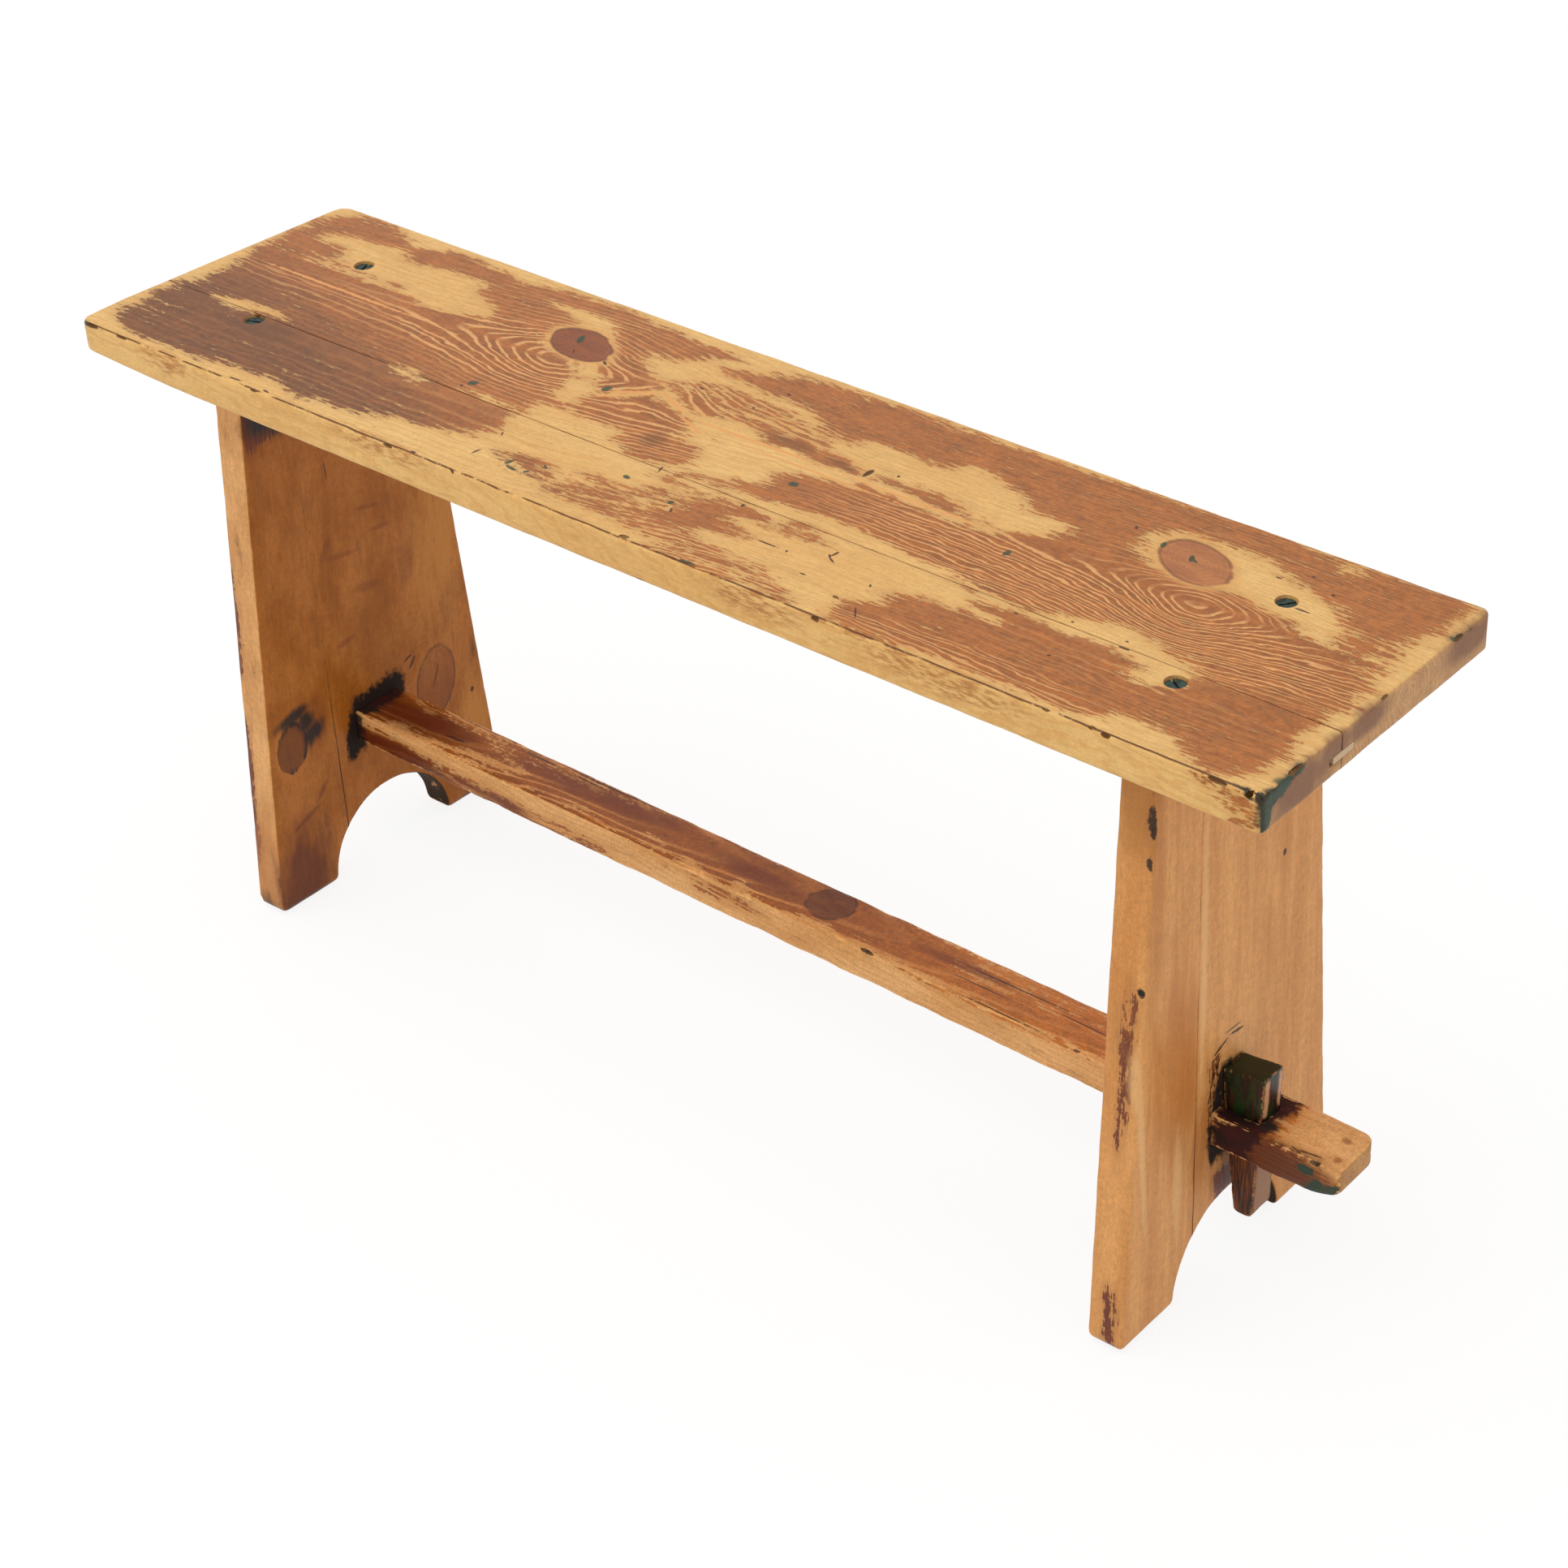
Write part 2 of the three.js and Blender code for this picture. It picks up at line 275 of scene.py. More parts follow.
# Pine: growth rings about a pith, knots, stain where a piece is painted with it, grime and marks.
# The grain runs along X, or along Z for a standing board.
def pine(name, look):
    shader = Shader(name)
    place, (x, y, z) = shader.millimetres()
    upright = look.get("upright", False)
    along, through = (z, x) if upright else (x, z)
    axis = 0 if upright else 2  # square to the broad faces, so spots turn about it
    flow = shader.node("ShaderNodeCombineXYZ", None, {0: along, 1: y, 2: through})
    facing = shader.facing()
    endwise = shader.step(abs(facing[2 - axis]), 0.5, 0.85)

    def tone(colour):
        return shown(colour, look["light"])

    def tones(name):
        return [tone(colour) for colour in look[name]]

    # lays one kind of spots over a colour, their edges frayed by noises, each with its share
    def spotted(colour, kind, noises, low, high):
        for spotTone, strength, spots in look.get(kind, {}).values():
            level = shader.ovals(place, spots, axis)
            for rough, share in noises:
                level = level + (rough - 0.5) * share
            colour = shader.blend(shader.step(level, low, high) * strength, colour, tone(spotTone))
        return colour

    # growth rings
    sway = shader.noise(flow, (150, 50, 60), 1.0, shift=3)
    ripple = shader.noise(flow, (24, 8, 8), 2.0, shift=8)
    bent = y + (sway - 0.5) * look["sway"] + (ripple - 0.5) * look["ripple"]
    for centre, half, lift in look.get("waves", {}).values():
        bent = bent - shader.oval(place, centre, half, falloff="QUADRATIC_SPHERE") * lift
    phase, slant, curled = None, None, 0
    for pithY, pithThrough, leanY, leanThrough, width in look["piths"]:
        across = bent - along * leanY - pithY
        below = through - along * leanThrough - pithThrough
        reach = shader.maths("SQRT", across * across + below * below)
        if "spread" in look:
            reach = reach * (1 - shader.step(along, *look["spread"][:2]) * look["spread"][2])
        here, steep = reach / width, abs(across) / reach
        if phase is None:
            phase, slant = here, steep
            for centre, half, count in look.get("loops", {}).values():
                curl = shader.hill(place, centre, half)
                phase = phase - curl * count
                curled = curl + curled
        else:
            front = shader.step(0 - y, -look["seam"] - 0.1, -look["seam"] + 0.1)
            phase = phase + (here - phase) * front
            slant = slant + (steep - slant) * front
    uneven = {"W": phase, "Scale": pineWood["wanderScale"], "Detail": 1.0}
    wander = shader.node("ShaderNodeTexNoise", {"noise_dimensions": "1D"}, uneven)
    ring = shader.maths("FRACT", phase + wander * pineWood["wander"])
    line = shader.step(ring, *pineWood["line"]) * shader.step(ring, *pineWood["lineEnd"])
    flatLine = pineWood["flatLine"]
    line = line * (shader.step(slant, *pineWood["steep"]) * (1 - flatLine) + flatLine)

    fibre = shader.noise(flow, (30, 0.7, 0.7), 3.0, 0.6, shift=2)
    cloud = shader.noise(flow, look["cloud"], 3.0, 0.6, shift=17)
    drift = shader.noise(flow, (40, 12, 12), 3.0, 0.6, shift=11)
    comb = shader.noise(flow, look["comb"], 2.0, 0.6, shift=5)
    hair = shader.noise(flow, (9, 0.9, 0.9), 3.0, 0.65, shift=31)

    # bare wood, and the darker tone of a leg's inner face: partly stain, mostly painted shade from the
    # seat above
    colour = shader.blend(shader.step(cloud, *pineWood["patches"]), *tones("bare"))
    if "inner" in look:
        inner = shader.step(facing[0], 0.4, 0.8)
        shaded = shader.blend(shader.step(cloud, *pineWood["patches"]), *tones("inner"))
        colour = shader.blend(inner, colour, shaded)
    colour = shader.blend(line * look["bareLineShare"], colour, tone(look["bareLine"]))
    # painted shade washed over the bare wood, where a look has it
    colour = spotted(colour, "paintedShadeWashes", [(cloud, 0.6)], 0.0, 0.7)

    # stain: where it is left, with frayed edges, then its own colour
    level = shader.least(shader.most(shader.attribute("stain"), -9), 6)
    ragged = level + (drift - 0.5) * look["drift"] + (comb - 0.5) * look["fray"]
    ragged = ragged + (hair - 0.5) * look["hair"] + (0.3 - line) * look["lineFray"]
    crumbs = shader.noise(place, (4, 4, 4), 3.0, 0.6, shift=21)
    ragged = ragged + (crumbs - 0.5) * look["fray"]
    stain = shader.step(ragged, -look["stainSoft"], look["stainSoft"])
    film = shader.step(ragged, -6, 1) * look["film"]
    left, right = look["stainTurn"]
    side = shader.step(along + y * look["stainSlope"] + (cloud - 0.5) * 160, left, right)
    worn = shader.blend(side, *tones("stain"))
    blotch = shader.noise(flow, (34, 9, 9), 3.0, 0.65, shift=61)
    uneven = (drift - 0.5) * 0.7 + (crumbs - 0.5) * 0.9 + (blotch - 0.5) * look["blotch"]
    worn = shader.dim(worn, uneven + 1)
    warm = shader.step(comb, 0.45, 0.75) * (side * 0.4 + 0.1)
    worn = shader.blend(warm, worn, tone(look["stainWarm"]))
    keen = curled * 1.2 + look["stainLineShare"]
    for centre, half, more in look.get("keen", {}).values():
        keen = keen + shader.step(shader.oval(place, centre, half), 0.0, 0.4) * more
    keen = shader.least(keen, 1)
    worn = shader.blend(line * keen, worn, tone(look["stainLine"]))
    stain = shader.most(stain * look["stainCover"], film)
    colour = shader.blend(stain, colour, worn)

    # end grain
    endTone = shader.blend(shader.step(drift, *mixed), *tones("end"))
    endTone = shader.dim(endTone, 1.05 - line * 0.18)
    colour = shader.blend(endwise * look["endCover"], colour, endTone)

    skin = pineWood["knotSkin"]
    for knot in look.get("knots", {}).values():
        half = [2 * size for size in knot["half"]]
        level = shader.oval(place, knot["centre"], half, knot["turn"], knot.get("axis", 2))
        level = level + (ripple - 0.5) * 0.09
        halo = shader.step(level, 0.3, skin - 0.02) * knot["halo"]
        colour = shader.blend(halo, colour, tone(look["halo"]))
        rings = shader.step(shader.maths("FRACT", level * pineWood["knotRings"]), 0.2, 0.9)
        darker = rings * 0.2 + shader.step(drift, *mixed) * 0.6
        heart = shader.blend(darker, tone(knot["colour"]), tone(knot["heart"]))
        inside = shader.step(level, skin - 0.02, skin + 0.02)
        colour = shader.blend(inside * knot.get("cover", 1.0), colour, heart)
        rim = shader.step(level, skin - 0.04, skin - 0.01)
        rim = rim * shader.step(level, knot.get("rimDepth", 0.55), skin)
        rim = rim * shader.step(drift + ripple, 0.8, 1.0)
        colour = shader.blend(rim * knot.get("rim", 0.5), colour, tone(look["rim"]))

    # small unevenness of tone, then what lies on the wood, with painted shade and painted light among
    # the shades
    grit = shader.noise(place, (1.8, 1.8, 1.8), 2.0, 0.6, shift=47)
    mottle = (fibre - 0.5) * look["fibre"] + (hair - 0.5) * look["fibre"] * 0.8
    mottle = mottle + (crumbs - 0.5) * look["mottle"] + (grit - 0.5) * look["grit"]
    # painted light: faces that look to the front are made lighter
    front = shader.step(0 - facing[1], 0.5, 0.9)
    colour = shader.dim(colour, mottle + (1 + front * look.get("frontPaintedLight", 0)))
    colour = spotted(colour, "shades", [(drift, 0.9), (crumbs, 0.3)], 0.05, 0.7)
    for filmTone, strength, spots in look.get("films", {}).values():
        level = shader.step(shader.ovals(place, spots, axis), 0.0, 0.7) * strength
        streaky = shader.step(comb + hair, 0.88, 1.16)
        colour = shader.blend(level * streaky, colour, tone(filmTone))
    colour = spotted(colour, "marks", [(crumbs, 0.9)], 0.26, 0.5)
    if "dirt" in look:
        broken = shader.noise(place, (26, 30, 30), 4.0, 0.7, shift=41)
        for lineY, width, lowest, start, full, bias in look["dirt"].values():
            more = shader.step(x * bias[0], start, full) * bias[1] + broken
            band = shader.step(abs(y + (ripple - 0.5) * 1.2 - lineY), width, width * 0.3)
            band = band * shader.step(z, lowest, lowest + 1) * shader.step(more, 0.38, 0.5)
            colour = shader.blend(band * 0.75, colour, tone(look["dirtTone"]))
    if "seam" in look:
        lowest, highest = look.get("seamFade", (-9999, 9999))
        joint = shader.step(abs(y - look["seam"]), 0.8, 0.3) * look["seamDark"]
        joint = joint * shader.step(along, highest, lowest)
        colour = shader.blend(joint, colour, tone(look["rim"]))
    dull = 0
    if "arch" in look:
        radius, soot, rear, front = look["arch"]
        away = shader.maths("SQRT", y * y + z * z)
        hollow = shader.step(away, radius + 1.6, radius + 0.4) * shader.step(crumbs + drift, 0.55, 0.85)
        dull = hollow * (shader.step(y, -5, 5) * (rear - front) + front)
        colour = shader.blend(dull, colour, tone(soot))
    smear = shader.attribute("grime") + (crumbs - 0.5) * look["grimeFray"] + (drift - 0.5) * 9
    dark = shader.blend(shader.step(drift, *mixed), *tones("grime"))
    painted = shader.step(smear, -look["grimeSoft"], 2.5) * look["grimeCover"]
    colour = shader.blend(painted, colour, dark)
    dull = painted * look.get("grimeDull", 0) + dull

    # rubbed arrises and torn wood
    arris = shader.attribute("arris")
    if "edge" in look:
        rubbedTone, strength, reach = look["edge"]
        rubbed = shader.step(arris + (crumbs - 0.5) * 4 + (comb - 0.5) * 8, reach, -0.6)
        colour = shader.blend(rubbed * strength, colour, tone(rubbedTone))
    cut = shader.attribute("cut")
    colour = shader.blend(cut * 0.8, colour, tone(look["torn"]))
    height = line * 0.4 + fibre * 0.35 + hair * 0.2
    roughness = dull * 0.4 + look["roughness"] - stain * 0.08
    return shader.surface(colour, roughness, height, look["relief"], Specular_IOR_Level=0.3)


# 1 for rays straight from the camera, or by way of gloss or glass
def seenByCamera(shader):
    rays = ("Is Camera Ray", "Is Glossy Ray", "Is Transmission Ray")
    return shader.most(*[shader.node("ShaderNodeLightPath", None, None, ray) for ray in rays])


def stageMaterials():
    floor = Shader("studioFloor")
    white = floor.node("ShaderNodeEmission", None,
                       {"Color": (1, 1, 1, 1), "Strength": studio["floorWhite"]})
    paper = floor.node("ShaderNodeBsdfDiffuse", None, {"Color": studio["floorColour"]})
    glowing = seenByCamera(floor) * studio["floorGlow"]
    lit = floor.node("ShaderNodeMixShader", None, {0: glowing, 1: paper, 2: white})
    clear = floor.node("ShaderNodeBsdfTransparent")
    under = floor.node("ShaderNodeNewGeometry", None, None, "Backfacing")
    both = floor.node("ShaderNodeMixShader", None, {0: under, 1: lit, 2: clear})
    floor.node("ShaderNodeOutputMaterial", None, {"Surface": both})

    world = bpy.data.worlds.new("studioSky")
    bpy.context.scene.world = world
    sky = Shader("studioSky", world)
    strength = seenByCamera(sky) * (1 - studio["sky"]) + studio["sky"]
    glow = sky.node("ShaderNodeBackground", None, {"Color": (1, 1, 1, 1), "Strength": strength})
    sky.node("ShaderNodeOutputWorld", None, {"Surface": glow})
    return floor.owner


def makeStage(material):
    bm = bmesh.new()
    bmesh.ops.create_grid(bm, size=studio["floorSize"] / 2)
    bmesh.ops.translate(bm, vec=(0, 0, -0.2 * mm), verts=bm.verts)
    mesh = bpy.data.meshes.new("floor")
    bm.to_mesh(mesh)
    floor = bpy.data.objects.new("floor", mesh)
    mesh.materials.append(material)
    bpy.context.scene.collection.objects.link(floor)


# Shapes

def boxOf(*nodes):
    corners = [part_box(node) for node in nodes]
    low = Vector([min(box[0][axis] for box in corners) for axis in range(3)]) / mm
    high = Vector([max(box[1][axis] for box in corners) for axis in range(3)]) / mm
    return low, high


def block(low, high):
    low, high = Vector(low), Vector(high)
    bm = bmesh.new()
    bmesh.ops.create_cube(bm, size=1)
    bmesh.ops.scale(bm, vec=high - low, verts=bm.verts)
    bmesh.ops.translate(bm, vec=(low + high) / 2, verts=bm.verts)
    return bm


# A profile of (radius, height) pairs turned about an upright axis
def spun(profile, sides, place):
    bm = bmesh.new()
    verts = [bm.verts.new((radius, 0, height)) for radius, height in profile]
    edges = [bm.edges.new(pair) for pair in zip(verts, verts[1:])]
    bmesh.ops.spin(bm, geom=verts + edges, cent=(0, 0, 0), axis=(0, 0, 1), angle=math.tau,
                   steps=sides, use_merge=True)
    bmesh.ops.remove_doubles(bm, verts=bm.verts, dist=1e-4)
    bmesh.ops.recalc_face_normals(bm, faces=bm.faces)
    bmesh.ops.translate(bm, vec=place, verts=bm.verts)
    return bm


# Rounds the edges that chosen picks by their two ends
def ease(bm, radius, segments, chosen):
    edges = [edge for edge in bm.edges if chosen(*[vert.co for vert in edge.verts])]
    bmesh.ops.bevel(bm, geom=edges, offset=radius, offset_type="OFFSET", segments=segments,
                    profile=0.5, affect="EDGES", material=-1, clamp_overlap=True)


def lies(a, b, axis, place, slack=0.01):
    # both ends of an edge lie in one plane square to an axis
    return abs(a[axis] - place) < slack and abs(b[axis] - place) < slack


# Chooses the edges in the two faces that are square to an axis
def onEnds(low, high, axis):
    return lambda a, b: lies(a, b, axis, low[axis]) or lies(a, b, axis, high[axis])


def looseObject(name, bm):
    mesh = bpy.data.meshes.new(name)
    bm.to_mesh(mesh)
    made = bpy.data.objects.new(name, mesh)
    bpy.context.scene.collection.objects.link(made)
    return made


# Takes cutters out of a body. What the torn ones lay bare is marked by its material number,
# and both numbers need a slot to outlast the cut.
def carve(bm, cutters, torn=()):
    body = looseObject("body", bm)
    tools = []
    for number, cutter in enumerate([*cutters, *torn]):
        for face in cutter.faces:
            face.material_index = int(number >= len(cutters))
        tool = looseObject(f"cutter{number}", cutter)
        cut = body.modifiers.new("cut", "BOOLEAN")
        cut.object, cut.operation, cut.solver = tool, "DIFFERENCE", "EXACT"
        tools.append(tool)
    body.data.materials.append(None)
    body.data.materials.append(None)
    done = body.evaluated_get(bpy.context.evaluated_depsgraph_get())
    result = bmesh.new()
    result.from_mesh(done.data)
    for made in [body, *tools]:
        mesh = made.data
        bpy.data.objects.remove(made)
        bpy.data.meshes.remove(mesh)
    return result


# Scoops of torn wood, each (centre, half sizes, turn about Z in degrees)
def scoops(chips, seed=1):
    bm = bmesh.new()
    for number, (centre, half, turn) in enumerate(chips):
        lay = Matrix.LocRotScale(Vector(centre), Euler((0, 0, math.radians(turn))), Vector(half))
        made = bmesh.ops.create_icosphere(bm, subdivisions=2, radius=1, matrix=lay)
        for vert in made["verts"]:
            away = vert.co - Vector(centre)
            lump = noise.noise(vert.co * 0.9 + Vector((seed, number, 0)))
            vert.co = Vector(centre) + away * (1 + 0.35 * lump)
    return bm


def turnedAboutZ(bm, turn):
    bmesh.ops.rotate(bm, cent=(0, 0, 0), matrix=Matrix.Rotation(turn, 3, "Z"), verts=bm.verts)
    return bm


# The lowest and highest corner of a body's box
def extent(bm):
    return [[pick(vert.co[axis] for vert in bm.verts) for axis in range(3)] for pick in (min, max)]


# Cuts the faces along a plane and keeps both sides
def sliceAt(bm, place, normal=(0, 0, 1)):
    everything = bm.verts[:] + bm.edges[:] + bm.faces[:]
    bmesh.ops.bisect_plane(bm, geom=everything, dist=1e-4, plane_co=place, plane_no=normal)


# Crosses a body with level cuts, so that wear and paint can follow its faces
def crosscut(bm, gaps):
    low, high = extent(bm)
    for axis, gap in enumerate(gaps):
        count = max(1, round((high[axis] - low[axis]) / gap))
        normal = Vector([float(axis == other) for other in range(3)])
        for number in range(1, count):
            sliceAt(bm, normal * (low[axis] + (high[axis] - low[axis]) * number / count), normal)


# Points all along the sharp edges of a body
def arrisPoints(bm, gap=2.0):
    points = []
    for edge in bm.edges:
        if len(edge.link_faces) == 2 and edge.calc_face_angle(0) > math.radians(15):
            a, b = [vert.co for vert in edge.verts]
            count = max(1, round((b - a).length / gap))
            points += [a.lerp(b, number / count) for number in range(count + 1)]
    tree = KDTree(len(points))
    for number, point in enumerate(points):
        tree.insert(point, number)
    tree.balance()
    return tree


# Rubs a body down near its arrises, and keeps how far each point lies from them
def weather(bm, tree, wear, seed):
    layer = bm.verts.layers.float.new("arris")
    bm.normal_update()
    low, high = extent(bm)
    moves = []
    for vert in bm.verts:
        distance = tree.find(vert.co)[2]
        vert[layer] = min(distance, 40)  # further off makes no difference
        spot = vert.co + Vector((seed, seed, seed))
        rub = max(0.0, 1 - distance / wear["reach"]) ** 2
        rough = max(0.0, 0.5 + noise.fractal(spot / wear["length"], 1.0, 2.0, 3))
        swell = 0.5 + 0.5 * noise.noise(spot / wear["swellLength"])
        moves.append(vert.normal * -(rub * wear["depth"] * rough + swell * wear["swell"]))
    for vert, move in zip(bm.verts, moves):
        vert.co = [min(max(vert.co[axis] + move[axis], low[axis]), high[axis]) for axis in range(3)]


farOut = -30.0  # the depth of a point that is far outside every outline


# How many millimetres flat points lie inside the deepest of several outlines, negative outside
def depthInside(points, outlines):
    best = np.full(len(points), farOut)
    for outline in outlines:
        start = outline.astype(float)
        end = np.roll(start, -1, axis=0)
        side = end - start
        away = points[:, None] - start
        share = np.clip((away * side).sum(2) / (side ** 2).sum(1), 0, 1)
        gap = np.linalg.norm(away - share[..., None] * side, axis=2).min(1)
        height = points[:, 1:]
        spans = (start[:, 1] > height) != (end[:, 1] > height)
        rise = np.where(side[:, 1] == 0, 1e-9, side[:, 1])
        crossing = start[:, 0] + (height - start[:, 1]) * side[:, 0] / rise
        inside = (spans & (points[:, :1] < crossing)).sum(1) % 2 == 1
        best = np.maximum(best, np.where(inside, gap, -gap))
    return best


paints = {
    "streaks": 0.4,  # the most depth that a streaky outline gives, so that noise breaks it up
    "grain": 0.5,  # what a millimetre along the grain counts for, so that ends fray further
    "broad": 1.1,  # how much more the broad faces get of a rounded edge
}


# Paints a layer on a body's faces from outlines. A face is named by the way it looks, such as
# "+z", and its outlines use the other two axes.
def paint(bm, layerName, faces, grain=0, broad=2):
    layer = bm.verts.layers.float.new(layerName)
    bm.normal_update()
    places = np.array([vert.co for vert in bm.verts])
    normals = np.array([vert.normal for vert in bm.verts])
    weights = [paints["broad"] if axis == broad else 1 for axis in range(3)]
    axes = (np.abs(normals) * weights).argmax(1)
    signs = np.sign(normals[np.arange(len(axes)), axes])
    levels = np.full(len(places), farOut)
    for name, outlines in faces.items():
        axis, sign = "xyz".index(name[1]), 1 if name[0] == "+" else -1
        chosen = (axes == axis) & (signs == sign)
        others = [other for other in range(3) if other != axis]
        scale = np.array([paints["grain"] if other == grain else 1 for other in others])
        flat = places[chosen][:, others] * scale

        def depth(group):
            drawn = outlines.get(group, {}).values()
            return depthInside(flat, [np.array(outline) * scale for outline in drawn])

        thin = np.minimum(depth("streaks"), paints["streaks"])
        levels[chosen] = np.minimum(np.maximum(depth("on"), thin), -depth("off"))
    for vert, level in zip(bm.verts, levels):
        vert[layer] = level


sharpFrom = math.radians(40)  # edges that turn more than this stay sharp to the eye


# Turns a body into the piece that stands for a CAD node
def finishPiece(bm, node, material):
    torn = bm.loops.layers.float.new("cut")
    for face in bm.faces:
        for corner in face.loops:
            corner[torn] = float(face.material_index == 1)
        face.material_index = 0
        face.smooth = True
    bmesh.ops.remove_doubles(bm, verts=bm.verts, dist=1e-3)
    bmesh.ops.scale(bm, vec=(mm, mm, mm), verts=bm.verts)
    mesh = bpy.data.meshes.new(node + "_piece")
    bm.to_mesh(mesh)
    mesh.set_sharp_from_angle(angle=sharpFrom)
    mesh.materials.clear()
    mesh.materials.append(material)
    piece = bpy.data.objects.new(node + "_piece", mesh)
    bpy.context.scene.collection.objects.link(piece)
    even = piece.modifiers.new("evenShading", "WEIGHTED_NORMAL")
    even.keep_sharp = True
    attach(piece, frame["nodes"][node]["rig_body"])
    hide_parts(node)
    print(f"  {piece.name}: {len(mesh.vertices)} points")


# Spots on a flat face square to an axis. A row has a spot's middle and half sizes along the
# other two axes, then its turn in degrees.
def onFace(axis, place, thick, rows):
    spots = []
    for first, second, wide, high, turn in rows:
        centre, half = [first, second], [wide, high]
        centre.insert(axis, place)
        half.insert(axis, thick)
        spots.append((centre, half, turn))
    return spots


# Holes for the screws

screw = {
    "length": 80,
    "shank": 3.5,
    "head": 6.75,
    "rim": 0.6,
    "eased": 0.3,  # off the edge of the head
    "tip": {"radius": 0.6, "length": 10},
    "top": 473,
    "bore": 7.25,
    "slot": {"width": 1.8, "depth": 1.5},
    "sides": 40,
    "places": {  # x, y and turn
        "seat_screw_left_front": (-398, -48.5, 0.35),
        "seat_screw_left_rear": (-398, 58, 1.9),
        "seat_screw_right_rear": (397, 58, 0.9),
        "seat_screw_right_front": (395, -54, 2.6),
    },
}
coneHeight = screw["rim"] + screw["head"] - screw["shank"]


# Follows the screw up to its head, then the wider bore above it
def screwHole(x, y):
    shank, head, bore = screw["shank"] + play, screw["head"] + play, screw["bore"]
    deep, rim = -screw["length"] - play, -screw["rim"] - play
    profile = [(0, deep), (shank, deep), (shank, -coneHeight - play), (head, rim), (bore, rim),
               (bore, 4), (0, 4)]
    return spun(profile, 32, (x, y, screw["top"]))


# Seat

